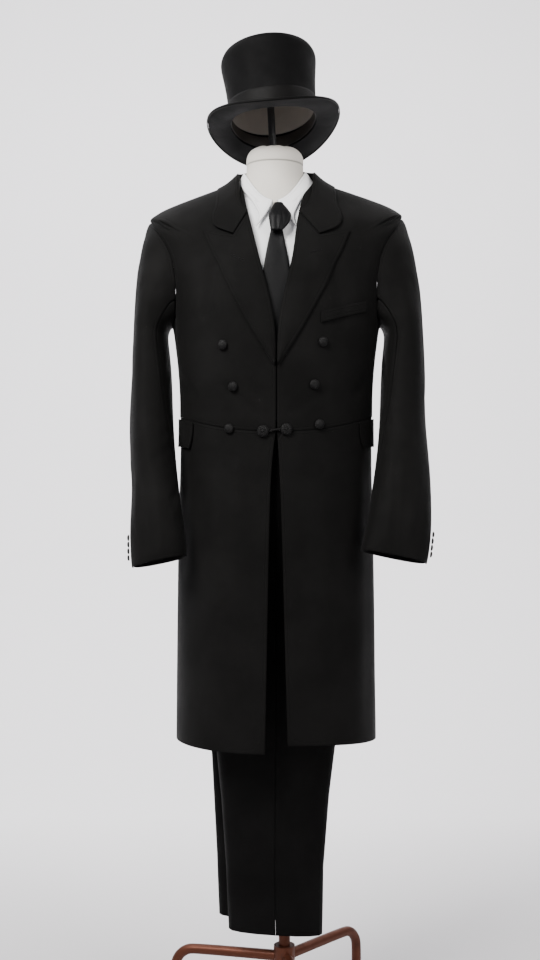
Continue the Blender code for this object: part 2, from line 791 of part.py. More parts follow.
def pocket_welt(cloth):
    """Slanted breast welt on the wearer's left."""
    (x0, z0), (x1, z1) = WELT["inner"], WELT["outer"]
    spots = []
    for drop in (WELT["depth"], WELT["depth"] / 2, 0):
        spots.append([front_spot(blend(x0, x1, j / 5), blend(z0, z1, j / 5) - drop) for j in range(6)])
    body_panel("breast_welt", spots, cloth, LAPEL_LIFT, 0.0020)


def flap_lift(angle, level):
    """The flap stands a little further off towards its lower edge."""
    return FLAP["lift"] + FLAP["flare"] * (FLAP["level"] - level)


def pocket_flaps(cloth):
    """Pocket flaps that hang from the waist seam over each hip, with rounded front corners."""
    for side, word in side_names():
        spots = []
        for i in range(5):
            v = i / 4
            level = FLAP["level"] - FLAP["depth_levels"] * (1 - v)
            corner = FLAP["corner_angle"] * (1 - v) ** 3
            first, last = FLAP["inner_angle"] + corner, FLAP["outer_angle"] - corner
            spots.append([(a, level) for a in spread(first, last, 5)])
        body_panel("pocket_flap_" + word, signed(spots, side), cloth, flap_lift, FLAP_CLOTH)


def covered_button(name, place, normal, diameter, thickness, material, steps=12):
    """A domed, cloth-covered button seated on a face."""
    radius = diameter / 2
    profile = [
        (0, thickness),
        (radius * 0.45, thickness * 0.93),
        (radius * 0.82, thickness * 0.66),
        (radius, thickness * 0.30),
        (radius * 0.88, 0),
        (0, 0),
    ]
    made = turned(name, profile, steps, material)
    made.location = place + normal * SEAM_GAP
    made.rotation_mode = "QUATERNION"
    made.rotation_quaternion = normal.to_track_quat("Z", "Y")
    return made


def front_buttons(silk):
    """Six front buttons, two link buttons at the waist and two at the back of the waist."""
    for name, x, z, diameter, thickness in FRONT_BUTTONS:
        angle, level = front_spot(x, z)
        normal = body_normal(angle, level)
        place = on_body(angle, level, 0.0001)
        covered_button(name, place, normal, diameter, thickness, silk)
    for side, word in side_names():
        angle, level = side * (SEAM["back"](4.1) + 6), 4.1
        place, normal = on_body(angle, level), body_normal(angle, level)
        covered_button("waist_button_" + word, place, normal, 0.019, 0.0065, silk, 10)


def link_cord(silk):
    """The short cord that joins the two link buttons across the front edges."""
    cells, radius = 8, 0.0017
    left, right = FRONT_BUTTONS[-1], FRONT_BUTTONS[-2]
    first, last = right[1] + right[3] / 2 + 0.0008, left[1] - left[3] / 2 - 0.0008
    rings = []
    for i in range(cells + 1):
        t = i / cells
        x, z = blend(first, last, t), blend(right[2], left[2], t) - 0.0015 * math.sin(math.pi * t)
        centre = on_front(x, z, radius + 0.0004 + 0.0016 * math.sin(math.pi * t))
        ring = []
        for j in range(8):
            turn = math.radians(45 * j)
            wave = 1 + 0.18 * math.cos(2 * turn + 5 * math.pi * t)
            ring.append(centre + Vector((0, math.cos(turn), math.sin(turn))) * radius * wave)
        rings.append(ring)
    loft("link_cord", rings, silk)


def cuff_buttons(side, word, grid, normals):
    """Four small buttons that touch, up the hind seam from the cuff."""
    silk = bpy.data.materials["covered_button"]
    column = [row[HIND_SEAM_COLUMN - 1] for row in grid]
    outward = [row[HIND_SEAM_COLUMN - 1] for row in normals]
    for n in range(CUFF_BUTTONS_EACH):
        reach = 0.018 + 0.0128 * n
        i = len(column) - 1
        run = 0.0
        while run + (column[i] - column[i - 1]).length < reach:
            run += (column[i] - column[i - 1]).length
            i -= 1
        t = (reach - run) / (column[i] - column[i - 1]).length
        place = blend(column[i], column[i - 1], t)
        normal = blend(outward[i], outward[i - 1], t).normalized()
        seat = place + normal * CUFF_BUTTON_STAND
        covered_button(f"cuff_button_{word}_{n + 1}", seat, normal, 0.012, 0.0045, silk, 8)


# Shirt and tie

def shirt(linen):
    """Two fronts and a back under the coat, cut at the armholes, without sleeves."""
    levels = [3.4] + RIB_LEVELS + ARMHOLE_LEVELS[1:] + NECK_LEVELS[1:]
    for side, word in side_names():
        front = []
        for level in levels:
            first = max(edge_angle(side, level), 6)
            row = [0.2] + spread(first, shirt_seam(level, "side"), FOREPART_CELLS)
            front.append([(a, level) for a in row])
        body_panel("shirt_front_" + word, signed(front, side), linen, shirt_out, SHIRT_CLOTH)
    back = []
    for level in levels:
        first = shirt_seam(level, "back")
        back.append([(a, level) for a in spread(first, 360 - first, 2 * BACK_CELLS)])
    body_panel("shirt_back", back, linen, shirt_out, SHIRT_CLOTH)


def shirt_seam(level, name):
    """Angle of the shirt's side seam, which opens into the armhole above the armpit."""
    return blend(92, SEAM[name](level), ease(5.6, 6.6, level))


BAND_RADIUS = 0.0588
BAND_START = 0.0042


def neck_ring(angle, up):
    """Point of the shirt collar's band, from the neckline to its top edge."""
    s, c = math.sin(math.radians(angle)), math.cos(math.radians(angle))
    low = on_body(angle, NECK_LEVEL, -UNDER["shirt"](NECK_LEVEL)) + Vector((0, 0, BAND_START))
    high_z = blend(1.680, 1.613, c * c) if c > 0 else blend(1.680, 1.690, c * c)
    high_y = -(BAND_RADIUS + 0.0020 * c) * c
    high = Vector((NECK_X + BAND_RADIUS * s, high_y, high_z + SHOULDER_LEAN * 0.06 * s))
    return blend(low, high, up)


def shirt_collar(linen):
    """The collar: band, fold at its top, and a leaf that falls to two points at the front."""
    front = spread(4.0, 92, 8)
    back = spread(92, 180, 5)[1:]
    angles = front + back + [360 - a for a in reversed(back[:-1])] + [360 - a for a in reversed(front)]
    tip_angle, tip_level = front_spot(*SHIRT_POINT)
    columns = []
    for angle in angles:
        side = 1 if angle <= 180 else -1
        turn = angle if angle <= 180 else 360 - angle
        share = ease(4, 60, turn)
        end_angle = blend(tip_angle, max(turn, tip_angle), min((turn - 4) / 40, 1))
        end_level = blend(tip_level, NECK_LEVEL, min((turn - 4) / 34, 1) ** 0.85)
        depth = -blend(0.0052, 0.0078, share)
        fold = neck_ring(angle, 1.0)
        s, c = math.sin(math.radians(angle)), math.cos(math.radians(angle))
        outward = Vector((s, -c, 0))
        fold_out = fold + outward * 0.0030
        rest = on_body(side * turn, NECK_LEVEL, depth)
        crest = fold + outward * 0.0015 + Vector((0, 0, 0.0010))
        column = [neck_ring(angle, 0.0), neck_ring(angle, 0.5), fold, crest]
        for v in (0.0, 0.35, 0.7, 1.0):
            spot = side * blend(turn, end_angle, v), blend(NECK_LEVEL, end_level, v)
            column.append(on_body(*spot, depth) + (fold_out - rest) * (1 - v) ** 2)
        columns.append(column)
    face = [[column[i] for column in columns] for i in range(len(columns[0]))]
    normals = grid_normals(face)
    back_face = backed(face, normals, SHIRT_CLOTH)
    wall("shirt_collar", draw_in(face, columns=False), draw_in(back_face, columns=False), linen)


def tie(silk):
    """A flat blade on the shirt front and a tapered knot above it."""
    face, back = [], []
    for height, centre, half in TIE_BLADE:
        widths = [centre + half * share for share in (-1, -0.5, 0, 0.5, 1)]
        face.append([on_front(x, height, -TIE_DEPTH) for x in widths])
        back.append([on_front(x, height, -TIE_DEPTH - TIE_CLOTH) for x in widths])
    face.reverse()
    back.reverse()
    wall("tie_blade", face, back, silk)
    rings = []
    for height, centre, half in TIE_KNOT:
        middle = on_front(centre, height, KNOT_STAND)
        at_end = height in (TIE_KNOT[0][0], TIE_KNOT[-1][0])
        deep = KNOT_END_HALF_DEPTH if at_end else KNOT_HALF_DEPTH
        rings.append(ring_of((middle.x, middle.y), half, deep, height, 12, 2.6))
    loft("tie_knot", rings, silk)


# Trousers

def leg_point(leg, turn, height):
    """Point of a leg section: turn 0 is the near side, negative towards the trousers' front."""
    s, c = math.sin(math.radians(turn)), math.cos(math.radians(turn))
    left, right, fold = leg["left"](height), leg["right"](height), leg["fold"](height)
    x = (left + right) / 2 + (right - left) / 2 * bulge(s)
    reach = leg["near"](height) if c > 0 else leg["far"](height)
    return Vector((x, fold + (reach - fold) * abs(bulge(c)), height))


def trousers(cloth):
    """Four panels: each leg's front lies to the viewer's left and its back to the right."""
    seat = curves(SEAT_COLUMNS, SEAT_RINGS)
    legs = (("left", curves(LEG_COLUMNS, NEAR_LEG), 1), ("right", curves(LEG_COLUMNS, FAR_LEG), -1))
    for word, leg, near in legs:
        for part, way in (("front", -1), ("back", 1)):
            rows = []
            for height, *_ in (NEAR_LEG if near > 0 else FAR_LEG):
                row = []
                for j in range(9):
                    turn = way * 22.5 * j
                    point = leg_point(leg, turn if near > 0 else 180 - turn, height)
                    point.z += HEM_SLANT * point.x * (1 - ease(0.2, 0.4, height))
                    row.append(point)
                rows.append(row)
            for height, *_ in SEAT_RINGS:
                row = []
                for degrees in SEAT_TURNS:
                    turn = math.radians(way * degrees)
                    depth = seat["near_depth" if near > 0 else "far_depth"](height)
                    x = seat["half_width"](height) * bulge(math.sin(turn))
                    reach = max(depth * bulge(math.cos(turn)), SEAM_GAP)
                    row.append(Vector((x, -near * reach, height)))
                rows.append(row)
            normals = grid_normals(rows)
            for row in normals[-len(SEAT_RINGS):]:
                row[-1] = Vector((way * near, 0, 0))
            if way * near < 0:
                normals = [[-n for n in row] for row in normals]
            back = backed(rows, normals, TROUSER_CLOTH)
            wall(f"trouser_{part}_{word}", draw_in(rows), draw_in(back), cloth)
    waistband(seat, cloth)


def waistband(seat, cloth):
    """The band round the top of the trousers."""
    count = 24
    height = SEAT_RINGS[-1][0]
    face = []
    for level in (height, height + WAISTBAND_HEIGHT):
        row = []
        for j in range(count):
            turn = 2 * math.pi * j / count
            s, c = math.sin(turn), math.cos(turn)
            depth = seat["near_depth"](height) if c > 0 else seat["far_depth"](height)
            row.append(Vector((seat["half_width"](height) * bulge(s), -depth * bulge(c), level + SEAM_GAP)))
        face.append(row)
    back = backed(face, grid_normals(face, closed=True), 0.0022)
    wall("trouser_waistband", face, back, cloth, closed=True)


# Dress form

def form(jersey):
    """Limbless torso and neck in one smooth solid."""
    count = 24
    angles = [360 * j / count for j in range(count)]
    rings = []
    for level in [2.25, 2.5, 3, 4, 4.8, 5.6, 6.4, 7.2, 8, 8.6] + NECK_LEVELS:
        rings.append([on_body(a, level, -form_depth(a, level)) for a in angles])
    for point in rings[0]:
        point.z = FORM_BOTTOM
    neck = ring_of((NECK_X, 0), *NECK_RADIUS, NECK_TOP, count)
    rings.append([Vector((p.x, p.y, body_point(a, NECK_LEVEL).z + 0.004)) for p, a in zip(neck, angles)])
    rings.append(neck)
    loft("form_torso", rings, jersey)


CAP_PROFILE = [(1.0, 0.0), (1.015, 0.013), (0.93, 0.024), (0.74, 0.030), (0.48, 0.031), (0.25, 0.025)]


def neck_cap(jersey):
    """The gathered jersey that closes the neck, puffed round the post."""
    count = 24
    rings = []
    for share, rise in CAP_PROFILE:
        ring = []
        inward = 1 - share
        for j in range(count):
            turn = 2 * math.pi * j / count
            gather = 0.0030 * math.sin(7 * turn + 1.0) + 0.0035 * math.sin(2 * turn + 0.8)
            height = NECK_TOP + SEAM_GAP + rise + gather * max(inward, 0)
            x = NECK_X + NECK_RADIUS[0] * share * math.sin(turn) - 0.002 * inward
            ring.append(Vector((x, -NECK_RADIUS[1] * share * math.cos(turn), height)))
        rings.append(ring)
    inner = [Vector((p.x, p.y, NECK_TOP + SEAM_GAP)) for p in rings[-1]]
    shell_rings("form_neck_cap", rings, [rings[0], inner], jersey, capped=False)


# Hat

def hat_frame():
    """Place of the hat: its crown's base in the garment's frame."""
    turn = Matrix.Rotation(math.radians(HAT_YAW), 4, "Z")
    tilt = Matrix.Rotation(math.radians(-HAT_TILT), 4, "X")
    roll = Matrix.Rotation(math.radians(HAT_ROLL), 4, "Y")
    return Matrix.Translation(HAT_CENTRE) @ roll @ turn @ tilt


def hat_ring(radius, height, count):
    """Oval ring of the crown; near its base it dips at the front and back."""
    place = hat_frame()
    dip = BASE_DIP * (1 - ease(0.0, 0.075, height))
    points = []
    for j in range(count):
        turn = 2 * math.pi * j / count
        s, c = math.sin(turn), math.cos(turn)
        points.append(place @ Vector((radius * s, -(radius + HAT_OVAL) * c, height - dip * c * c)))
    return points


# Crown: side radius and height; brim: share of its width and side radius
CROWN_PROFILE = [
    (0.0878, 0.001),
    (0.0868, 0.030),
    (0.0880, 0.060),
    (0.0915, 0.092),
    (0.0948, 0.114),
    (0.0950, 0.124),
    (0.0908, 0.1315),
    (0.0600, 0.1350),
]
BRIM_PROFILE = [(0.00, 0.0878), (0.30, 0.1005), (0.60, 0.1135), (0.85, 0.1245), (1.00, 0.1296)]
BRIM_OVAL_EXTRA = 0.016
BASE_DIP = 0.014
BRIM_DIP = 0.029
BRIM_CURL = 0.006
LINING_TOP = 0.1278
LAYER_STEP = 0.0004


def shell_rings(name, outer, inner, material, capped=True):
    """A shell from outer rings going up and inner rings coming down, closed over its top if capped."""
    rings = outer + inner[::-1]
    count = len(rings[0])
    points = [p for ring in rings for p in ring]
    faces = []
    top = len(outer) - 1
    for i in range(len(rings)):
        if capped and i == top:
            continue
        m = (i + 1) % len(rings)
        for j in range(count):
            k = (j + 1) % count
            faces.append([i * count + j, i * count + k, m * count + k, m * count + j])
    if capped:
        faces.append([top * count + j for j in range(count)])
        faces.append([(top + 1) * count + j for j in reversed(range(count))])
    return add_mesh(name, points, faces, material)


def brim_ring(share, radius, count, above):
    """Oval ring of the brim, curled up at the sides and dipped at the front and back."""
    place = hat_frame()
    points = []
    for j in range(count):
        turn = 2 * math.pi * j / count
        s, c = math.sin(turn), math.cos(turn)
        curl = BRIM_CURL * share ** 2.2 - 0.006 * math.sin(math.pi * share)
        dip = blend(BASE_DIP, BRIM_DIP, share)
        point = Vector((radius * s, -(radius + HAT_OVAL + BRIM_OVAL_EXTRA * share) * c, above))
        point.z += curl * s * s - dip * c * c
        points.append(place @ point)
    return points


def hat(felt, ribbon, satin, leather):
    """Crown, band, brim with its bound edge, lining and sweatband."""
    count = 28
    top = CROWN_PROFILE[-1][1] - FELT
    crown_out = [hat_ring(r, h, count) for r, h in CROWN_PROFILE]
    under_tip = [min(h, top - LAYER_STEP * (7 - i)) for i, (_, h) in enumerate(CROWN_PROFILE)]
    crown_in = [hat_ring(r - FELT, h, count) for (r, _), h in zip(CROWN_PROFILE, under_tip)]
    shell_rings("hat_crown", crown_out, crown_in, felt)

    ribbon_rows = ((0.0877, 0.0036), (0.0871, 0.0180), (0.0868, 0.0340))
    band_out = [hat_ring(r + 0.0022, h, count) for r, h in ribbon_rows]
    band_in = [hat_ring(r + 0.0005, h, count) for r, h in ribbon_rows]
    shell_rings("hat_band", band_out, band_in, ribbon, capped=False)

    over = [brim_ring(s, r + (0 if i else -FELT), count, 0.0) for i, (s, r) in enumerate(BRIM_PROFILE)]
    under = [brim_ring(s, r + (0 if i else -FELT), count, -FELT) for i, (s, r) in enumerate(BRIM_PROFILE)]
    shell_rings("hat_brim", over, under, felt, capped=False)

    edge = BRIM_PROFILE[-1][1]
    inset = [brim_ring(1.0, edge + 0.0006, count, rise) for rise in (0.0016, -FELT - 0.0016)]
    rim = [brim_ring(1.0, edge + 0.0024, count, rise) for rise in (0.0006, -FELT - 0.0006)]
    shell_rings("hat_binding", [inset[0], rim[0]], [inset[1], rim[1]], ribbon, capped=False)

    upper = [(r, h) for r, h in CROWN_PROFILE if h > 0.05]
    lining_out, lining_in = [], []
    for i, (radius, height) in enumerate(upper):
        limit = LINING_TOP - LAYER_STEP * (6 - i)
        lining_out.append(hat_ring(radius - FELT - 0.0008, min(height, limit), count))
        lining_in.append(hat_ring(radius - FELT - 0.0020, min(height, limit - 0.0014), count))
    shell_rings("hat_lining", lining_out, lining_in, satin)

    sweat = ((0.0877, 0.0015), (0.0868, 0.0300), (0.0874, 0.0480))
    sweat_out = [hat_ring(r - FELT - 0.0006, h, count) for r, h in sweat]
    sweat_in = [hat_ring(r - FELT - 0.0020, h, count) for r, h in sweat]
    shell_rings("hat_sweatband", sweat_out, sweat_in, leather, capped=False)


def straight_bar(name, start, end, radius, count, material):
    """A round bar between two points."""
    way = (end - start).normalized()
    across = way.orthogonal().normalized()
    other = way.cross(across)
    rings = []
    for place in (start, end):
        rings.append([
            place + (across * math.cos(t) + other * math.sin(t)) * radius
            for t in (2 * math.pi * j / count for j in range(count))
        ])
    return loft(name, rings, material)


def hat_post(black):
    """The post from the neck up to the inside of the crown."""
    start = Vector((NECK_X - 0.002, 0.0, NECK_TOP + 0.0016))
    end = hat_frame() @ Vector((0, 0, LINING_TOP - 0.0045))
    straight_bar("hat_post", start, end, POST_RADIUS, 12, black)


# Stand

def stand(lacquer):
    """A centre pole on a three-legged base of bent tube."""
    low = Vector((*POLE_PLACE, HUB_HEIGHT + 0.022 + SEAM_GAP))
    high = Vector((*POLE_PLACE, FORM_BOTTOM - SEAM_GAP))
    straight_bar("stand_pole", low, high, POLE_RADIUS, 14, lacquer)
    pieces = []
    for azimuth in LEG_AZIMUTHS:
        way = Vector((math.cos(math.radians(azimuth)), math.sin(math.radians(azimuth)), 0))
        route = [way * 0.004 + Vector((0, 0, HUB_HEIGHT))]
        bend_centre = way * (LEG_REACH - LEG_BEND) + Vector((0, 0, HUB_HEIGHT - LEG_BEND))
        for step in range(6):
            turn = math.radians(90 - 18 * step)
            rise = Vector((0, 0, LEG_BEND * math.sin(turn)))
            route.append(bend_centre + way * LEG_BEND * math.cos(turn) + rise)
        route.append(way * LEG_REACH + Vector((0, 0, FOOT_HEIGHT / 2)))
        pieces.append(tube_mesh(route, TUBE_RADIUS, 10, way))
        pieces.append(cylinder_mesh(way * LEG_REACH, FOOT_RADIUS, 0, FOOT_HEIGHT, 14))
    pieces.append(cylinder_mesh(Vector(), 0.021, HUB_HEIGHT - 0.018, HUB_HEIGHT + 0.022, 16))
    base = pieces[-1]
    base.name = "stand_base"
    base.data.materials.append(lacquer)
    for piece in pieces[:-1]:
        cut = base.modifiers.new("join", "BOOLEAN")
        cut.operation = "UNION"
        cut.object = piece
        piece.hide_render = True
        piece.display_type = "WIRE"
    base.location = (*POLE_PLACE, 0)
    for piece in pieces[:-1]:
        piece.location = (*POLE_PLACE, 0)


def loose_mesh(points, faces, home):
    mesh = bpy.data.meshes.new("stand_piece")
    mesh.from_pydata([tuple(p) for p in points], [], faces)
    work = bmesh.new()
    work.from_mesh(mesh)
    bmesh.ops.recalc_face_normals(work, faces=work.faces)
    work.to_mesh(mesh)
    work.free()
    made = bpy.data.objects.new("stand_piece", mesh)
    made.parent = AXIS
    bpy.data.collections[home].objects.link(made)
    return made


def tube_mesh(route, radius, count, way):
    """A bent tube in the upright plane that holds its way out."""
    across = way.cross(Vector((0, 0, 1))).normalized()
    points = []
    for i, place in enumerate(route):
        ahead = (route[min(i + 1, len(route) - 1)] - route[max(i - 1, 0)]).normalized()
        other = ahead.cross(across)
        for j in range(count):
            turn = 2 * math.pi * j / count
            points.append(place + (across * math.cos(turn) + other * math.sin(turn)) * radius)
    faces = []
    for i in range(len(route) - 1):
        for j in range(count):
            k = (j + 1) % count
            faces.append([i * count + j, i * count + k, (i + 1) * count + k, (i + 1) * count + j])
    faces.append(list(reversed(range(count))))
    faces.append([(len(route) - 1) * count + j for j in range(count)])
    return loose_mesh(points, faces, "cutters")


def cylinder_mesh(place, radius, low, high, count):
    points = ring_of(place, radius, radius, low, count) + ring_of(place, radius, radius, high, count)
    faces = [[j, (j + 1) % count, count + (j + 1) % count, count + j] for j in range(count)]
    faces += [list(range(count)), list(range(count, 2 * count))]
    home = COLLECTION if radius > 0.018 else "cutters"
    return loose_mesh(points, faces, home)


for old in list(bpy.data.objects):
    bpy.data.objects.remove(old)
for label in (COLLECTION, "cutters"):
    bpy.context.scene.collection.children.link(bpy.data.collections.new(label))
AXIS = bpy.data.objects.new("costume_axis", None)
AXIS.location = AXIS_PLACE
bpy.data.collections[COLLECTION].objects.link(AXIS)

worsted = make_material("coat_worsted", (0.012, 0.012, 0.012), 0.85)
trouser_cloth = make_material("trouser_worsted", (0.008, 0.008, 0.008), 0.85)
button_silk = make_material("covered_button", (0.014, 0.013, 0.013), 0.6)
tie_silk = make_material("tie_satin", (0.010, 0.010, 0.011), 0.5)
shirt_linen = make_material("shirt_cotton", (0.80, 0.82, 0.86), 0.8)
form_jersey = make_material("form_jersey", (0.78, 0.75, 0.68), 0.9)
hat_felt = make_material("hat_felt", (0.011, 0.011, 0.011), 0.9)
hat_ribbon = make_material("hat_grosgrain", (0.016, 0.016, 0.017), 0.6)
hat_satin = make_material("hat_lining_satin", (0.35, 0.33, 0.31), 0.45)
hat_leather = make_material("hat_sweatband_leather", (0.02, 0.018, 0.016), 0.5)
post_black = make_material("post_black", (0.01, 0.01, 0.01), 0.4)
stand_lacquer = make_material("stand_lacquer", (0.30, 0.13, 0.06), 0.3, 0.8)

coat_panels(worsted)
sleeves(worsted)
coat_collar(worsted)
for lapel_side, lapel_word in side_names():
    lapel(lapel_side, lapel_word, worsted)
pocket_welt(worsted)
pocket_flaps(worsted)
front_buttons(button_silk)
link_cord(button_silk)
shirt(shirt_linen)
shirt_collar(shirt_linen)
tie(tie_silk)
trousers(trouser_cloth)
form(form_jersey)
neck_cap(form_jersey)
hat(hat_felt, hat_ribbon, hat_satin, hat_leather)
hat_post(post_black)
stand(stand_lacquer)
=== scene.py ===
# %% [markdown]
# # An undertaker's costume on a limbless dress form
# A frock coat, trousers, shirt, tie and topper stand on a form with a tubular tripod. The solids come
# from the CAD part. Here each piece of cloth gets its finer surface, its creases and its material.

# %% Load the fixed frame
import math

import bmesh
import bpy
import numpy as np
from mathutils import Matrix, Vector, kdtree
from mathutils.bvhtree import BVHTree


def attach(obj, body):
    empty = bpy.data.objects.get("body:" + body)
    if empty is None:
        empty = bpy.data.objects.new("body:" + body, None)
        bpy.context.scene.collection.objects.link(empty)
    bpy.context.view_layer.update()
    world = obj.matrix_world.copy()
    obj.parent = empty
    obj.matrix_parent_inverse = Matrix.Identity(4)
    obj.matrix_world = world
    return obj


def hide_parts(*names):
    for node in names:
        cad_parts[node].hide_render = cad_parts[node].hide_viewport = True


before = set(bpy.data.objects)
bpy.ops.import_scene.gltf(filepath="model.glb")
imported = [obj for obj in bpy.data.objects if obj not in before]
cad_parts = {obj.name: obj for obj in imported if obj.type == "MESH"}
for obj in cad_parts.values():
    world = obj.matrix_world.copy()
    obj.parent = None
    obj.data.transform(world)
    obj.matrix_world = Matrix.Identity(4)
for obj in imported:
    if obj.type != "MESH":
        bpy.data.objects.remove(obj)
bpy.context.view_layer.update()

# %% [markdown]
# ## Camera
# The photograph was taken level, from 1.08 m above the floor and about 2.45 m in front of the form.
# The camera comes first, because the small details are placed by looking through it.

# %% Camera
EYE = Vector((-0.016, -2.411, 1.08))
FOCAL_PIXELS = 1250.0
FRAME_CENTRE = (270.0, 480.0)
bpy.ops.object.camera_add(location=EYE, rotation=(math.radians(90), 0, 0))
camera = bpy.context.object
camera.data.sensor_width = 36.0
camera.data.lens = 46.9
bpy.context.scene.camera = camera


def ray_through(pixel):
    """The direction in which the camera sees a place of the photograph, in its 540 by 960 frame."""
    across = (pixel[0] - FRAME_CENTRE[0]) / FOCAL_PIXELS
    down = (pixel[1] - FRAME_CENTRE[1]) / FOCAL_PIXELS
    return Vector((across, 1.0, -down)).normalized()


print("camera at", tuple(EYE))

# %% [markdown]
# ## Shader groups
# Woven cloth, felt, leather and lacquer share a few effects. Each effect is built once as a node group
# with named inputs, and every material places it with its own values.


# %% Helpers for node groups
def start_group(name, inputs, outputs):
    """Makes a shader group with its sockets. Inputs are (label, kind, value), outputs (label, kind)."""
    group = bpy.data.node_groups.new(name, "ShaderNodeTree")
    for label, kind, value in inputs:
        socket = group.interface.new_socket(label, in_out="INPUT", socket_type="NodeSocket" + kind)
        if value is not None:
            socket.default_value = value
    for label, kind in outputs:
        group.interface.new_socket(label, in_out="OUTPUT", socket_type="NodeSocket" + kind)
    start = group.nodes.new("NodeGroupInput")
    end = group.nodes.new("NodeGroupOutput")
    return group, start, end


def math_node(tree, operation, first, second=None, third=None, clamp=False):
    """A Math node whose inputs are sockets or plain numbers; gives its output socket."""
    node = tree.nodes.new("ShaderNodeMath")
    node.operation = operation
    node.use_clamp = clamp
    for index, value in enumerate((first, second, third)):
        if value is None:
            continue
        if isinstance(value, (int, float)):
            node.inputs[index].default_value = value
        else:
            tree.links.new(value, node.inputs[index])
    return node.outputs[0]


def noise_node(tree, vector, scale, detail=2.0, roughness=0.5):
    """A Noise Texture on the given coordinates; gives its factor socket."""
    node = tree.nodes.new("ShaderNodeTexNoise")
    node.inputs["Scale"].default_value = scale
    node.inputs["Detail"].default_value = detail
    node.inputs["Roughness"].default_value = roughness
    tree.links.new(vector, node.inputs["Vector"])
    return node.outputs["Fac"]


def spread(tree, value, low, high, start=0.0, end=1.0):
    """A clamped Map Range from low..high to start..end."""
    node = tree.nodes.new("ShaderNodeMapRange")
    tree.links.new(value, node.inputs["Value"])
    for label, number in (("From Min", low), ("From Max", high), ("To Min", start), ("To Max", end)):
        node.inputs[label].default_value = number
    return node.outputs["Result"]


TURN = 2 * math.pi

# %% [markdown]
# A weave is two sets of threads. In a plain weave they cross one over one; in a twill each row steps
# aside, so fine slanted ribs appear. The group works in metres on the piece's own unrolled map, and the
# slant input turns one into the other.

# %% Group: woven threads
weave, start, end = start_group(
    "woven threads",
    [("Map", "Vector", None), ("Threads per metre", "Float", 2200.0), ("Slant", "Float", 1.0),
     ("Slub", "Float", 0.35)],
    [("Height", "Float"), ("Tone", "Float")])
split = weave.nodes.new("ShaderNodeSeparateXYZ")
weave.links.new(start.outputs["Map"], split.inputs[0])
across = math_node(weave, "MULTIPLY", split.outputs["X"], start.outputs["Threads per metre"])
along = math_node(weave, "MULTIPLY", split.outputs["Y"], start.outputs["Threads per metre"])
stepped = math_node(weave, "MULTIPLY_ADD", along, start.outputs["Slant"], across)
rib = math_node(weave, "SINE", math_node(weave, "MULTIPLY", stepped, TURN))
cross = math_node(weave, "SINE", math_node(weave, "MULTIPLY", along, TURN))
slub = noise_node(weave, start.outputs["Map"], 900.0, 3.0, 0.6)
threads = math_node(weave, "MULTIPLY_ADD", cross, 0.35, rib)
uneven = math_node(weave, "MULTIPLY", math_node(weave, "SUBTRACT", slub, 0.5), start.outputs["Slub"])
lumps = math_node(weave, "MULTIPLY_ADD", uneven, 4.0, 0.5)
height = math_node(weave, "MULTIPLY_ADD", threads, 0.35, lumps)
weave.links.new(height, end.inputs["Height"])
streaks = math_node(weave, "MULTIPLY_ADD", uneven, 2.2, 0.5)
tone = math_node(weave, "MULTIPLY_ADD", threads, 0.18, streaks, clamp=True)
weave.links.new(tone, end.inputs["Tone"])
print("group", weave.name, len(weave.nodes), "nodes")

# %% [markdown]
# Worn cloth isn't one even colour: it has broad soft patches where it was pressed or handled, a few
# specks of lint, and slight puckers. This group gives those three on Object coordinates.

# %% Group: worn cloth
life, start, end = start_group(
    "worn cloth",
    [("Place", "Vector", None), ("Deep", "Color", (0.01, 0.01, 0.01, 1)),
     ("Pale", "Color", (0.02, 0.02, 0.02, 1)), ("Thread tone", "Float", 0.5), ("Lint", "Float", 0.3)],
    [("Color", "Color"), ("Wear", "Float"), ("Pucker", "Float")])
patches = noise_node(life, start.outputs["Place"], 9.0, 3.0, 0.55)
soft = spread(life, patches, 0.36, 0.66)
pressed = math_node(life, "MULTIPLY", soft, 0.45)
blend = math_node(life, "MULTIPLY_ADD", start.outputs["Thread tone"], 0.55, pressed)
mix = life.nodes.new("ShaderNodeMix")
mix.data_type = "RGBA"
life.links.new(blend, mix.inputs["Factor"])
life.links.new(start.outputs["Deep"], mix.inputs["A"])
life.links.new(start.outputs["Pale"], mix.inputs["B"])
specks = life.nodes.new("ShaderNodeTexVoronoi")
specks.inputs["Scale"].default_value = 70.0
life.links.new(start.outputs["Place"], specks.inputs["Vector"])
speck = spread(life, specks.outputs["Distance"], 0.035, 0.06, 1.0, 0.0)
rare = spread(life, noise_node(life, start.outputs["Place"], 31.0), 0.60, 0.68)
few = math_node(life, "MULTIPLY", speck, rare)
lint = math_node(life, "MULTIPLY", few, start.outputs["Lint"], clamp=True)
dusted = life.nodes.new("ShaderNodeMix")
dusted.data_type = "RGBA"
dusted.inputs["B"].default_value = (0.30, 0.29, 0.28, 1)
life.links.new(lint, dusted.inputs["Factor"])
life.links.new(mix.outputs["Result"], dusted.inputs["A"])
life.links.new(dusted.outputs["Result"], end.inputs["Color"])
life.links.new(soft, end.inputs["Wear"])
life.links.new(noise_node(life, start.outputs["Place"], 26.0, 3.0, 0.5), end.inputs["Pucker"])
print("group", life.name, len(life.nodes), "nodes")
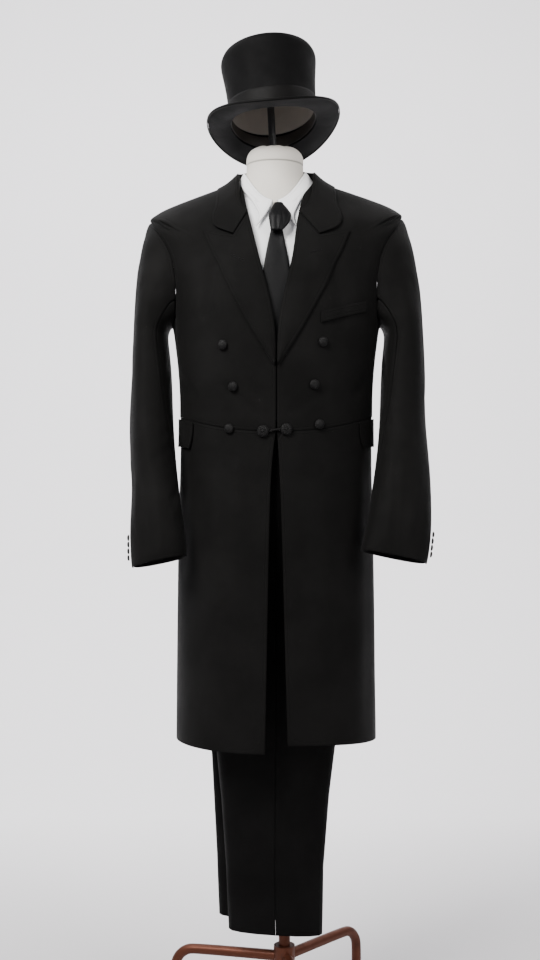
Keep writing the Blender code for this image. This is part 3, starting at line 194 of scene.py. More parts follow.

# %% [markdown]
# Where two pieces are sewn, the cloth rolls into the seam, and a tailored edge has a row of tiny stitches
# set back from it. Each piece carries its distance from its own edge as an attribute, and this group turns
# that distance into the roll and the stitches as bumps, and into painted shade: the colour is darkened
# along the edge and a little more on the stitch line, as if shade fell into the rolled seam.

# %% Group: sewn edge
edge, start, end = start_group(
    "sewn edge",
    [("Rim", "Float", 1.0), ("Place", "Vector", None), ("Roll", "Float", 0.003),
     ("Stitch line", "Float", 0.006), ("Stitch length", "Float", 0.0045)],
    [("Height", "Float"), ("Shade", "Float")])
rolled = math_node(edge, "DIVIDE", start.outputs["Rim"], start.outputs["Roll"], clamp=True)
round_off = math_node(edge, "POWER", rolled, 0.5)
split = edge.nodes.new("ShaderNodeSeparateXYZ")
edge.links.new(start.outputs["Place"], split.inputs[0])
run = math_node(edge, "MULTIPLY_ADD", split.outputs["X"], 0.45, split.outputs["Z"])
stitches = math_node(edge, "DIVIDE", run, start.outputs["Stitch length"])
beat = math_node(edge, "SINE", math_node(edge, "MULTIPLY", stitches, TURN))
dash = spread(edge, beat, 0.1, 0.4)
from_line = math_node(edge, "SUBTRACT", start.outputs["Rim"], start.outputs["Stitch line"])
away = math_node(edge, "ABSOLUTE", from_line)
line = spread(edge, away, 0.0003, 0.0009, 1.0, 0.0)
sunk = math_node(edge, "MULTIPLY", line, math_node(edge, "MULTIPLY_ADD", dash, 0.6, 0.4))
raised = math_node(edge, "MULTIPLY_ADD", sunk, -0.5, round_off)
edge.links.new(raised, end.inputs["Height"])
# Painted shade: the colour falls to 0.45 of itself at the edge, and the sunk stitches darken it a little
# more.
painted_seam_shade = math_node(edge, "MULTIPLY_ADD", round_off, 0.55, 0.45)
edge.links.new(math_node(edge, "MULTIPLY_ADD", sunk, -0.15, painted_seam_shade, clamp=True), end.inputs["Shade"])
print("group", edge.name, len(edge.nodes), "nodes")

# %% [markdown]
# ## Cloth materials
# One function joins the three groups. Every cloth then only needs its own row: how deep and pale the
# yarns are, how many threads it has, whether it is a twill, and how it shines. Sheen is the pale bloom
# that short fibres give at grazing angles, and it is set on the shader's own sockets.

# %% Cloth materials
CLOTH_COLUMNS = ("slot", "deep", "pale", "threads", "slant", "lint", "rough", "spec", "sheen", "sheen_rough",
                 "weave_depth", "pucker_depth", "stitch")
CLOTHS = [
    ("coat_worsted", (.0022, .0021, .0020), (.0060, .0057, .0055),
     1500, 1.0, .10, .64, .07, .024, .40, .00016, .0011, .006),
    ("trouser_worsted", (.0013, .0012, .0012), (.0040, .0038, .0038),
     1400, 1.0, .06, .70, .06, .014, .45, .00016, .0010, .9),
    ("covered_button", (.0020, .0019, .0020), (.0060, .0057, .0057),
     1300, 0.0, .03, .46, .16, .030, .35, .00020, .0001, .9),
    ("shirt_cotton", (.93, .935, .945), (.97, .97, .975),
     2400, 0.0, .0, .78, .30, .10, .40, .00006, .0007, .005),
    ("tie_satin", (.0022, .0022, .0025), (.0058, .0058, .0064),
     1900, 2.0, .05, .42, .12, .020, .30, .00008, .0005, .9),
    ("form_jersey", (.78, .735, .655), (.89, .85, .78),
     900, 0.0, .0, .88, .25, .20, .50, .00020, .0010, .9),
    ("hat_grosgrain", (.0018, .0017, .0017), (.0056, .0053, .0052),
     700, 0.0, .05, .54, .08, .018, .35, .00025, .0002, .9),
    ("hat_satin", (.30, .27, .24), (.50, .455, .41),
     1600, 3.0, .0, .38, .40, .20, .30, .00006, .0016, .9),
]
materials = {}


def place_group(tree, group, **values):
    node = tree.nodes.new("ShaderNodeGroup")
    node.node_tree = group
    for label, value in values.items():
        node.inputs[label.replace("_", " ")].default_value = value
    return node


def start_material(name):
    """An empty material with its shader and coordinates; gives (material, tree, shader, coordinates)."""
    material = bpy.data.materials.new(name)
    material.use_nodes = True
    tree = material.node_tree
    shader = tree.nodes["Principled BSDF"]
    places = tree.nodes.new("ShaderNodeTexCoord")
    materials[name] = material
    return material, tree, shader, places


def bump_node(tree, height, distance, strength=1.0, below=None):
    node = tree.nodes.new("ShaderNodeBump")
    node.inputs["Distance"].default_value = distance
    node.inputs["Strength"].default_value = strength
    tree.links.new(height, node.inputs["Height"])
    if below is not None:
        tree.links.new(below, node.inputs["Normal"])
    return node.outputs["Normal"]


def cloth_material(row):
    material, tree, shader, places = start_material(row["slot"])
    threads = place_group(tree, weave, Threads_per_metre=row["threads"], Slant=row["slant"])
    tree.links.new(places.outputs["UV"], threads.inputs["Map"])
    worn = place_group(tree, life, Deep=(*row["deep"], 1), Pale=(*row["pale"], 1), Lint=row["lint"])
    tree.links.new(places.outputs["Object"], worn.inputs["Place"])
    tree.links.new(threads.outputs["Tone"], worn.inputs["Thread tone"])
    rim = tree.nodes.new("ShaderNodeAttribute")
    rim.attribute_name = "rim"
    sewn = place_group(tree, edge, Stitch_line=row["stitch"])
    tree.links.new(rim.outputs["Fac"], sewn.inputs["Rim"])
    tree.links.new(places.outputs["Object"], sewn.inputs["Place"])
    # The cloth colour is multiplied by the sewn edge's painted shade, darker along every seam and edge.
    with_painted_seam_shade = tree.nodes.new("ShaderNodeMix")
    with_painted_seam_shade.data_type = "RGBA"
    with_painted_seam_shade.blend_type = "MULTIPLY"
    with_painted_seam_shade.inputs["Factor"].default_value = 1.0
    tree.links.new(worn.outputs["Color"], with_painted_seam_shade.inputs["A"])
    tree.links.new(sewn.outputs["Shade"], with_painted_seam_shade.inputs["B"])
    tree.links.new(with_painted_seam_shade.outputs["Result"], shader.inputs["Base Color"])
    polish = math_node(tree, "MULTIPLY_ADD", worn.outputs["Wear"], -0.10, row["rough"] + 0.05)
    tree.links.new(polish, shader.inputs["Roughness"])
    shader.inputs["Specular IOR Level"].default_value = row["spec"]
    shader.inputs["Sheen Weight"].default_value = row["sheen"]
    shader.inputs["Sheen Roughness"].default_value = row["sheen_rough"]
    puckered = bump_node(tree, worn.outputs["Pucker"], row["pucker_depth"])
    rolled = bump_node(tree, sewn.outputs["Height"], 0.0009, 1.0, puckered)
    woven = bump_node(tree, threads.outputs["Height"], row["weave_depth"], 0.7, rolled)
    tree.links.new(woven, shader.inputs["Normal"])


for row in CLOTHS:
    cloth_material(dict(zip(CLOTH_COLUMNS, row)))
print("cloth materials", len(materials))

# %% [markdown]
# ## Felt, leather, rubbed metal and lacquer
# The topper is brushed fur felt: no threads, but a short nap that lies one way and catches light at the
# edges. The sweatband is glazed leather. The stand is coppery lacquer on steel tube, a little worn.

# %% Felt and leather
material, tree, shader, places = start_material("hat_felt")
stretch = tree.nodes.new("ShaderNodeMapping")
stretch.inputs["Scale"].default_value = (1.0, 1.0, 0.30)
tree.links.new(places.outputs["Object"], stretch.inputs["Vector"])
nap = noise_node(tree, stretch.outputs["Vector"], 1500.0, 4.0, 0.7)
cloudy = noise_node(tree, places.outputs["Object"], 22.0, 3.0, 0.6)
tones = place_group(tree, life, Deep=(.0014, .0014, .0015, 1), Pale=(.0046, .0045, .0047, 1), Lint=0.12)
tree.links.new(places.outputs["Object"], tones.inputs["Place"])
tree.links.new(nap, tones.inputs["Thread tone"])
tree.links.new(tones.outputs["Color"], shader.inputs["Base Color"])
tree.links.new(spread(tree, cloudy, 0.3, 0.7, 0.62, 0.78), shader.inputs["Roughness"])
shader.inputs["Specular IOR Level"].default_value = 0.07
shader.inputs["Sheen Weight"].default_value = 0.022
shader.inputs["Sheen Roughness"].default_value = 0.38
brushed = bump_node(tree, nap, 0.00022, 0.8, bump_node(tree, cloudy, 0.0008))
tree.links.new(brushed, shader.inputs["Normal"])

material, tree, shader, places = start_material("hat_leather")
grain = tree.nodes.new("ShaderNodeTexVoronoi")
grain.inputs["Scale"].default_value = 900.0
tree.links.new(places.outputs["Object"], grain.inputs["Vector"])
handled = noise_node(tree, places.outputs["Object"], 40.0, 3.0, 0.6)
ramp = tree.nodes.new("ShaderNodeMix")
ramp.data_type = "RGBA"
ramp.inputs["A"].default_value = (.012, .010, .009, 1)
ramp.inputs["B"].default_value = (.034, .028, .024, 1)
tree.links.new(handled, ramp.inputs["Factor"])
tree.links.new(ramp.outputs["Result"], shader.inputs["Base Color"])
tree.links.new(spread(tree, handled, 0.3, 0.7, 0.38, 0.58), shader.inputs["Roughness"])
tree.links.new(bump_node(tree, grain.outputs["Distance"], 0.00015), shader.inputs["Normal"])
print("felt and leather ready")

# %% [markdown]
# Hard parts: both finishes use one function, with a base colour, a duller worn colour that shows through
# in scuffs, and a fine orange-peel bump as sprayed paint has.


# %% Lacquer and painted post
def hard_material(name, colour, worn_colour, metallic, rough, coat):
    material, tree, shader, places = start_material(name)
    scuffs = noise_node(tree, places.outputs["Object"], 55.0, 6.0, 0.7)
    scratched = spread(tree, scuffs, 0.56, 0.70)
    mix = tree.nodes.new("ShaderNodeMix")
    mix.data_type = "RGBA"
    mix.inputs["A"].default_value = (*colour, 1)
    mix.inputs["B"].default_value = (*worn_colour, 1)
    tree.links.new(scratched, mix.inputs["Factor"])
    tree.links.new(mix.outputs["Result"], shader.inputs["Base Color"])
    tree.links.new(spread(tree, scuffs, 0.3, 0.75, rough, rough + 0.22), shader.inputs["Roughness"])
    shader.inputs["Metallic"].default_value = metallic
    shader.inputs["Coat Weight"].default_value = coat
    shader.inputs["Coat Roughness"].default_value = 0.18
    peel = noise_node(tree, places.outputs["Object"], 700.0, 2.0, 0.5)
    tree.links.new(bump_node(tree, peel, 0.00006), shader.inputs["Normal"])


hard_material("stand_lacquer", (.092, .027, .013), (.060, .021, .012), 0.70, 0.46, 0.04)
hard_material("post_black", (.012, .012, .013), (.05, .05, .052), 0.1, 0.34, 0.2)
print("materials", sorted(materials))

# %% [markdown]
# ## Taking cloth from the frame
# The frame's solids are walls of flat facets. A real garment has none, so each wall is copied, its loose
# triangles are merged into quads, its sewn edges are creased so that they stay where the pattern puts
# them, and a Subdivision Surface makes the cloth between them smooth.


# %% Helpers for meshes
def select_only(piece):
    """Deselects everything, because an operator acts on all that is selected, then picks one piece."""
    if bpy.context.object and bpy.context.object.mode != "OBJECT":
        bpy.ops.object.mode_set(mode="OBJECT")
    bpy.ops.object.select_all(action="DESELECT")
    piece.select_set(True)
    bpy.context.view_layer.objects.active = piece


def points_of(piece):
    points = np.empty(len(piece.data.vertices) * 3)
    piece.data.vertices.foreach_get("co", points)
    return points.reshape(-1, 3)


def put_points(piece, points):
    piece.data.vertices.foreach_set("co", points.ravel())
    piece.data.update()


def apply_all(piece):
    select_only(piece)
    for modifier in list(piece.modifiers):
        bpy.ops.object.modifier_apply(modifier=modifier.name)


def take_cloth(node, levels=2, sharp=50, firm=None):
    """A smooth copy of a CAD wall as a new object, with its sharp edges kept.

    Where pieces are sewn round a tight curve, firm=(least distance from the middle, least height, most
    height) also holds the corners of the edge, so that both sides of the seam stay on the same line.
    """
    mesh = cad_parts[node].data.copy()
    mesh.materials.clear()
    for key in list(mesh.keys()):
        del mesh[key]
    piece = bpy.data.objects.new(node + "_finished", mesh)
    bpy.context.scene.collection.objects.link(piece)
    select_only(piece)
    bpy.ops.object.mode_set(mode="EDIT")
    bpy.ops.mesh.select_all(action="SELECT")
    bpy.ops.mesh.remove_doubles(threshold=0.00002)
    bpy.ops.mesh.customdata_custom_splitnormals_clear()
    bpy.ops.mesh.tris_convert_to_quads(face_threshold=math.radians(40), shape_threshold=math.radians(60))
    bpy.ops.mesh.select_mode(type="EDGE")
    bpy.ops.mesh.select_all(action="DESELECT")
    bpy.ops.mesh.edges_select_sharp(sharpness=math.radians(sharp))
    bpy.ops.transform.edge_crease(value=1.0)
    bpy.ops.object.mode_set(mode="OBJECT")
    if firm:
        held = piece.data.attributes.new("crease_vert", "FLOAT", "POINT")
        on_rim = {index for line in piece.data.edges if line.select for index in line.vertices}
        for index in on_rim:
            place = piece.data.vertices[index].co
            if abs(place.x) > firm[0] and firm[1] < place.z < firm[2]:
                held.data[index].value = 1.0
    if levels:
        smooth = piece.modifiers.new("smooth", "SUBSURF")
        smooth.levels = levels
        smooth.render_levels = levels
        apply_all(piece)
    return piece


SAMPLES_PER_EDGE = 4
FAR_FROM_RIM = 0.05


def mark_rim(piece, sharp=40):
    """Writes each point's distance from the nearest sharp edge as the attribute that seams are drawn from."""
    work = bmesh.new()
    work.from_mesh(piece.data)
    spots = []
    for line in work.edges:
        if len(line.link_faces) == 2 and line.calc_face_angle(0.0) > math.radians(sharp):
            first, last = line.verts[0].co, line.verts[1].co
            spots.extend(first.lerp(last, step / SAMPLES_PER_EDGE) for step in range(SAMPLES_PER_EDGE + 1))
    work.free()
    rim = piece.data.attributes.new("rim", "FLOAT", "POINT")
    values = np.full(len(piece.data.vertices), FAR_FROM_RIM)
    if spots:
        tree = kdtree.KDTree(len(spots))
        for index, spot in enumerate(spots):
            tree.insert(spot, index)
        tree.balance()
        for vertex in piece.data.vertices:
            values[vertex.index] = tree.find(vertex.co)[2]
    rim.data.foreach_set("value", values)


# %% [markdown]
# ## Unrolling a tube
# Sleeves, legs and the coat's body are all tubes round a centre line. The line is measured from the
# frame at a row of heights. With it a point becomes an angle and a height, which serves twice: it maps
# the weave, and it is where the creases are placed.


# %% Centre lines and maps
LINE_SLICES = 14
LINE_INSET = 0.02
HALF_SLICE = 0.045
FEWEST_POINTS = 5


def centre_line(*nodes):
    """Heights and the middle of the named nodes at each, measured in thin slices."""
    points = np.concatenate([points_of(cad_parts[node]) for node in nodes])
    low, high = points[:, 2].min() + LINE_INSET, points[:, 2].max() - LINE_INSET
    heights = np.linspace(low, high, LINE_SLICES)
    rows = []
    for height in heights:
        near = points[np.abs(points[:, 2] - height) < HALF_SLICE]
        if len(near) > FEWEST_POINTS:
            middle = (near.min(0) + near.max(0)) / 2
            rows.append((height, middle[0], middle[1]))
    return np.array(rows)


def unroll(points, line, radius):
    """Angle in degrees, 0 at the front and 90 towards +X, and the outward direction at each point."""
    across = points[:, 0] - np.interp(points[:, 2], line[:, 0], line[:, 1])
    back = points[:, 1] - np.interp(points[:, 2], line[:, 0], line[:, 2])
    angle = np.degrees(np.arctan2(across, -back))
    reach = np.maximum(np.hypot(across, back), 1e-5)
    return angle, across / reach, back / reach


def lay_grain(piece, line, radius):
    """Gives the piece a UV map in metres: round the tube one way and up the cloth the other."""
    points = points_of(piece)
    angle, _, _ = unroll(points, line, radius)
    middle = math.degrees(np.arctan2(np.sin(np.radians(angle)).mean(), np.cos(np.radians(angle)).mean()))
    turned = (angle - middle + 180) % 360 - 180
    flat = np.column_stack([np.radians(turned) * radius, points[:, 2]])
    layer = piece.data.uv_layers.new(name="grain")
    corners = np.empty(len(piece.data.loops), dtype=int)
    piece.data.loops.foreach_get("vertex_index", corners)
    layer.data.foreach_set("uv", flat[corners].ravel())


COAT_PARTS = ("forepart", "side_body", "back", "skirt")
COAT_NODES = [f"coat_{part}_{side}" for part in COAT_PARTS for side in ("left", "right")]
LINES = {
    "body": (centre_line(*COAT_NODES), 0.165),
    "sleeve_left": (centre_line("sleeve_top_left", "sleeve_under_left"), 0.060),
    "sleeve_right": (centre_line("sleeve_top_right", "sleeve_under_right"), 0.060),
    "leg_left": (centre_line("trouser_front_left", "trouser_back_left"), 0.070),
    "leg_right": (centre_line("trouser_front_right", "trouser_back_right"), 0.070),
    "hat": (centre_line("hat_crown"), 0.085),
    "neck": (centre_line("form_neck_cap"), 0.055),
    "stand": (centre_line("stand_pole"), 0.011),
    "knot": (centre_line("tie_knot"), 0.030),
}
for name, (line, radius) in LINES.items():
    print(name, "middle at half height", np.round(line[len(line) // 2], 3))

# %% [markdown]
# ## Creases
# Cloth that hangs keeps its folds where it is pulled or pushed together. Each crease is a row in a table:
# where it starts and ends, how wide and how deep it is. Minus is a trough and plus a ridge, and every
# trough pushes up a low lip beside it, as real cloth does. No two rows are alike.


# %% The crease tool
LIP_SHARE = 0.32
FADE = 0.22


def press_folds(piece, line, radius, folds):
    """Moves both faces of a wall in or out of the tube along each crease, fading at its ends."""
    points = points_of(piece)
    angle, out_x, out_y = unroll(points, line, radius)
    push = np.zeros(len(points))
    for start_angle, start_z, end_angle, end_z, width, depth in folds:
        round_it = np.radians((angle - start_angle + 180) % 360 - 180) * radius
        rise = points[:, 2] - start_z
        run_round = math.radians(end_angle - start_angle) * radius
        run_rise = end_z - start_z
        length = math.hypot(run_round, run_rise)
        share = (round_it * run_round + rise * run_rise) / length ** 2
        beside = (round_it * run_rise - rise * run_round) / length
        ends = np.clip((share + FADE / 2) / FADE, 0, 1) * np.clip((1 + FADE / 2 - share) / FADE, 0, 1)
        ends = ends * ends * (3 - 2 * ends)
        hollow = np.exp(-(beside / width) ** 2)
        lip = np.exp(-((beside - 1.7 * width) / width) ** 2)
        push += depth * ends * (hollow - LIP_SHARE * lip)
    points[:, 0] += out_x * push
    points[:, 1] += out_y * push
    put_points(piece, points)
    return float(np.abs(push).max())


# %% [markdown]
# The coat hangs from the shoulders and is held at the waist by its link. So there are hollows in front of
# the armholes, drag lines from the link, and long flutes in the skirt. The back has its own, from the
# shoulder blades down into the waist. Columns: angle and height where the crease starts, angle and height
# where it ends, half width, depth, in degrees and metres.

# %% Crease tables
COAT_FOLDS = [
    (-45, 1.49, -50, 1.385, .012, -.0030), (44, 1.50, 49, 1.375, .013, -.0026),
    (-33, 1.52, -30, 1.44, .013, .0012), (32, 1.51, 36, 1.43, .012, .0010),
    (-11, 1.196, -46, 1.262, .008, -.0012), (10, 1.200, 42, 1.250, .009, -.0011),
    (-14, 1.225, -38, 1.315, .010, -.0009), (60, 1.235, 78, 1.300, .009, -.0013),
    (-62, 1.240, -80, 1.285, .008, -.0012), (-71, 1.150, -69, 0.900, .017, -.0024),
    (-46, 1.120, -41, 0.690, .024, .0024), (-20, 1.100, -17, 0.640, .016, -.0014),
    (38, 1.130, 35, 0.760, .022, .0020), (72, 1.140, 68, 0.620, .020, -.0028),
    (22, 1.060, 20, 0.680, .015, -.0012), (100, 1.100, 104, 0.650, .026, .0032),
    (-104, 1.080, -99, 0.600, .023, .0036), (124, 1.130, 121, 0.760, .017, -.0030),
    (-127, 1.110, -124, 0.680, .019, -.0026), (150, 1.140, 152, 0.640, .026, .0030),
    (-148, 1.120, -153, 0.700, .024, .0034), (168, 1.080, 166, 0.780, .014, -.0016),
    (148, 1.480, 153, 1.330, .016, -.0024), (-149, 1.470, -155, 1.350, .015, -.0026),
    (158, 1.262, 112, 1.242, .009, -.0017), (-160, 1.275, -118, 1.250, .010, -.0020),
    (-164, 1.232, -130, 1.222, .007, -.0012), (165, 1.320, 132, 1.305, .010, -.0013),
    (-126, 1.370, -112, 1.300, .010, -.0015), (125, 1.365, 114, 1.290, .010, -.0014),
]
SLEEVE_FOLDS = {
    "sleeve_right": [
        (8, 1.450, 0, 1.360, .012, -.0018), (-60, 1.500, -45, 1.300, .016, .0020),
        (50, 1.310, 25, 1.255, .008, -.0022), (72, 1.200, 20, 1.165, .007, -.0020),
        (62, 1.160, 5, 1.120, .008, -.0017), (70, 1.075, 28, 1.042, .006, -.0019),
        (66, 1.052, 30, 1.014, .006, .0012), (-30, 1.080, -22, 0.950, .009, -.0012),
        (5, 1.050, 10, 0.945, .008, .0010), (-95, 1.260, -140, 1.175, .012, -.0022),
        (-120, 1.140, -170, 1.100, .011, -.0024), (160, 1.230, 120, 1.170, .010, -.0018),
        (-75, 1.120, -70, 0.960, .012, .0014), (150, 1.100, 110, 1.010, .012, -.0014),
    ],
    "sleeve_left": [
        (-10, 1.455, -4, 1.355, .012, -.0019), (58, 1.470, 48, 1.235, .015, .0022),
        (-62, 1.315, -30, 1.262, .008, -.0034), (-70, 1.225, -18, 1.180, .007, -.0018),
        (-60, 1.170, 0, 1.128, .009, -.0016), (-66, 1.072, -25, 1.052, .007, -.0013),
        (-15, 1.130, -8, 0.955, .008, -.0013), (18, 1.150, 26, 0.970, .010, .0013),
        (44, 1.110, 40, 0.960, .008, -.0010), (95, 1.250, 142, 1.190, .012, -.0020),
        (118, 1.150, 168, 1.100, .011, -.0023), (-160, 1.220, -122, 1.150, .010, -.0019),
        (-150, 1.090, -112, 1.000, .012, -.0015),
    ],
}
LEG_FOLDS = [
    (-88, 0.95, -88, 0.215, .010, .0014), (88, 0.95, 88, 0.215, .010, .0014),
    (-30, 0.700, -34, 0.360, .018, -.0014), (32, 0.640, 28, 0.300, .020, -.0012),
    (-52, 0.560, -20, 0.520, .010, -.0008), (50, 0.500, 15, 0.470, .011, -.0009),
    (150, 0.720, 156, 0.340, .020, -.0014), (-150, 0.660, -146, 0.380, .018, -.0012),
    (8, 0.330, 5, 0.225, .012, .0008),
]
KNOT_FOLDS = [(-50, 1.610, -16, 1.548, .0050, -.0006), (34, 1.600, 10, 1.548, .0050, -.0006)]
FOLDS = {"body": COAT_FOLDS, "leg_left": LEG_FOLDS, "leg_right": LEG_FOLDS, "knot": KNOT_FOLDS,
         **SLEEVE_FOLDS}
print("creases", {name: len(rows) for name, rows in FOLDS.items()})

# %% [markdown]
# ## The garment's pieces
# One table names every cloth piece: its node, finish, smoothness, centre line, whether it is creased, and
# how it is held. The flat size isn't in the table.

# %% Table of cloth pieces
PIECE_COLUMNS = ("node", "slot", "levels", "line", "creased", "held")
PIECES = [
    ("coat_forepart_left", "coat_worsted", 3, "body", True, "hung"),
    ("coat_forepart_right", "coat_worsted", 3, "body", True, "hung"),
    ("coat_side_body_left", "coat_worsted", 2, "body", True, "hung"),
    ("coat_side_body_right", "coat_worsted", 2, "body", True, "hung"),
    ("coat_back_left", "coat_worsted", 2, "body", True, "hung"),
    ("coat_back_right", "coat_worsted", 2, "body", True, "hung"),
    ("coat_skirt_left", "coat_worsted", 2, "body", True, "hung"),
    ("coat_skirt_right", "coat_worsted", 2, "body", True, "hung"),
    ("coat_collar", "coat_worsted", 3, "body", False, "folded"),
    ("lapel_left", "coat_worsted", 3, "body", True, "folded"),
    ("lapel_right", "coat_worsted", 3, "body", True, "folded"),
    ("breast_welt", "coat_worsted", 3, "body", True, "laid"),
    ("pocket_flap_left", "coat_worsted", 3, "body", True, "hung"),
    ("pocket_flap_right", "coat_worsted", 3, "body", True, "hung"),
    ("sleeve_top_left", "coat_worsted", 3, "sleeve_left", True, "hung"),
    ("sleeve_under_left", "coat_worsted", 2, "sleeve_left", True, "hung"),
    ("sleeve_top_right", "coat_worsted", 3, "sleeve_right", True, "hung"),
    ("sleeve_under_right", "coat_worsted", 2, "sleeve_right", True, "hung"),
    ("shirt_front_left", "shirt_cotton", 2, "body", True, "hung"),
    ("shirt_front_right", "shirt_cotton", 2, "body", True, "hung"),
    ("shirt_back", "shirt_cotton", 2, "body", True, "hung"),
    ("shirt_collar", "shirt_cotton", 3, "neck", False, "folded"),
    ("tie_blade", "tie_satin", 3, "knot", False, "hung"),
    ("tie_knot", "tie_satin", 3, "knot", True, "folded"),
    ("trouser_front_left", "trouser_worsted", 2, "leg_left", True, "hung"),
    ("trouser_back_left", "trouser_worsted", 2, "leg_left", True, "hung"),
    ("trouser_front_right", "trouser_worsted", 2, "leg_right", True, "hung"),
    ("trouser_back_right", "trouser_worsted", 2, "leg_right", True, "hung"),
    ("trouser_waistband", "trouser_worsted", 2, "body", True, "hung"),
]
FIRM_SEAMS = {"coat_worsted": (0.165, 1.30, 1.52), "trouser_worsted": (-1.0, -1.0, 2.0)}
SHOULDER_START = (0.224, 1.540)
SHOULDER_FADE = 0.014
EASE_FACTOR = 0.5
EASE_ROUNDS = 14
KNOT_WAIST = 1.578
KNOT_DRAW = 1.42
made = {}


def draw_down(piece):
    """The knot's lower half is drawn down to meet the blade."""
    points = points_of(piece)
    below = points[:, 2] < KNOT_WAIST
    points[below, 2] = KNOT_WAIST + (points[below, 2] - KNOT_WAIST) * KNOT_DRAW
    put_points(piece, points)


def round_shoulder(piece):
    """The wadded sleeve head rolls over the end of the shoulder, so the seams' corner is eased there."""
    points = points_of(piece)
    beyond = np.clip((np.abs(points[:, 0]) - SHOULDER_START[0]) / SHOULDER_FADE, 0, 1)
    above = np.clip((points[:, 2] - SHOULDER_START[1]) / SHOULDER_FADE, 0, 1)
    group = piece.vertex_groups.new(name="shoulder")
    for index in np.flatnonzero(beyond * above):
        group.add([int(index)], float(beyond[index] * above[index]), "REPLACE")
    eased = piece.modifiers.new("ease", "SMOOTH")
    eased.factor = EASE_FACTOR
    eased.iterations = EASE_ROUNDS
    eased.vertex_group = "shoulder"
    apply_all(piece)
    piece.vertex_groups.clear()


def finish_piece(piece, slot, *nodes):
    """Rides, finish, replaced nodes and smooth shading: what every piece needs at the end."""
    piece.data.materials.clear()
    piece.data.materials.append(materials[slot])
    select_only(piece)
    bpy.ops.object.shade_smooth_by_angle(angle=math.radians(35))
    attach(piece, "root")
    if nodes:
        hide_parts(*nodes)
    made[piece.name] = piece


for row in PIECES:
    data = dict(zip(PIECE_COLUMNS, row))
    line, radius = LINES[data["line"]]
    firm = FIRM_SEAMS.get(data["slot"]) if data["line"] != "body" or "coat" in data["node"] else None
    piece = take_cloth(data["node"], data["levels"], firm=firm)
    if data["node"] == "tie_knot":
        draw_down(piece)
    if data["node"].startswith(("sleeve", "coat_forepart", "coat_back")):
        round_shoulder(piece)
    mark_rim(piece)
    lay_grain(piece, line, radius)
    deepest = press_folds(piece, line, radius, FOLDS[data["line"]]) if data["creased"] else 0.0
    finish_piece(piece, data["slot"], data["node"])
    points = points_of(piece)
    print(data["node"], "faces", len(piece.data.polygons), "crease", round(deepest * 1000, 1), "mm")

# %% [markdown]
# ## Form, hat and stand
# These aren't creased cloth, but the frame's facets are smoothed in the same way.

# %% Inside the hat
HAT_CENTRE = Vector((-0.0090, 0.038, 1.7820))
HAT_TURNS = (("Y", -4.8), ("Z", 1.0), ("X", -8.9))
BASE_DIP = 0.014
DIP_HEIGHT = 0.075
BAND_SLACK = 0.006
hat_place = Matrix.Translation(HAT_CENTRE)
for axis, degrees in HAT_TURNS:
    hat_place = hat_place @ Matrix.Rotation(math.radians(degrees), 4, axis)
HAT_HEIGHTS = {
    "hat_sweatband": (0.0015, 0.0480, 0.0015, 0.0200),
    "hat_lining": (0.060, 0.086, 0.0212, 0.086),
}


def fit_in_hat(piece, low, high, new_low, new_high):
    """Slides a band's edges along the crown: heights from low to high become new_low to new_high."""
    points = points_of(piece)
    turn = np.array(hat_place.inverted())
    local = points @ turn[:3, :3].T + turn[:3, 3]
    reach = np.hypot(local[:, 0], local[:, 1])
    facing = (local[:, 1] / reach) ** 2
    dip = BASE_DIP * facing * np.clip(1 - local[:, 2] / DIP_HEIGHT, 0, 1)
    height = local[:, 2] + dip
    inside = height < high + BAND_SLACK
    moved = new_low + (height - low) * (new_high - new_low) / (high - low)
    new_dip = BASE_DIP * facing * np.clip(1 - moved / DIP_HEIGHT, 0, 1)
    local[:, 2] = np.where(inside, moved - new_dip, local[:, 2])
    back = np.array(hat_place)
    put_points(piece, local @ back[:3, :3].T + back[:3, 3])


# %% [markdown]
# The neck's jersey is gathered over its top and twisted into a small knot at the centre, with a soft puff
# on each side. The puffs are raised by moving the points of the smooth cap.

# %% Gathered cap
CAP_PUFFS = ((-0.026, -0.010, 0.022, 0.0050), (0.027, -0.006, 0.021, 0.0034), (0.004, 0.026, 0.020, 0.0030))
CAP_PLEATS = 13
CAP_DIMPLE = 0.0040
DIMPLE_WIDTH = 0.011
CAP_EDGE = 0.012
PLEAT_TWIST = 90
PLEAT_RING = 0.022
PLEAT_WIDTH = 0.014
PLEAT_HEIGHT = 0.0011


def gather_cap(piece):
    """Puffs, pleats that wind in to the middle, and a dimple where the post comes through."""
    points = points_of(piece)
    low, high = points.min(0), points.max(0)
    middle = (low + high) / 2
    across, back = points[:, 0] - middle[0], points[:, 1] - middle[1]
    reach = np.hypot(across, back)
    turn = np.arctan2(across, -back)
    up = np.clip((points[:, 2] - low[2] - CAP_EDGE) / CAP_EDGE, 0, 1)
    rise = np.zeros(len(points))
    for x, y, width, height in CAP_PUFFS:
        rise += height * np.exp(-((across - x) ** 2 + (back - y) ** 2) / width ** 2)
    ring = np.exp(-((reach - PLEAT_RING) / PLEAT_WIDTH) ** 2)
    pleat = np.cos(CAP_PLEATS * turn + PLEAT_TWIST * reach) * ring
    dimple = CAP_DIMPLE * np.exp(-(reach / DIMPLE_WIDTH) ** 2)
    rise += PLEAT_HEIGHT * pleat * (1 + 0.5 * np.cos(3 * turn + 1)) - dimple
    points[:, 2] += rise * up
    put_points(piece, points)


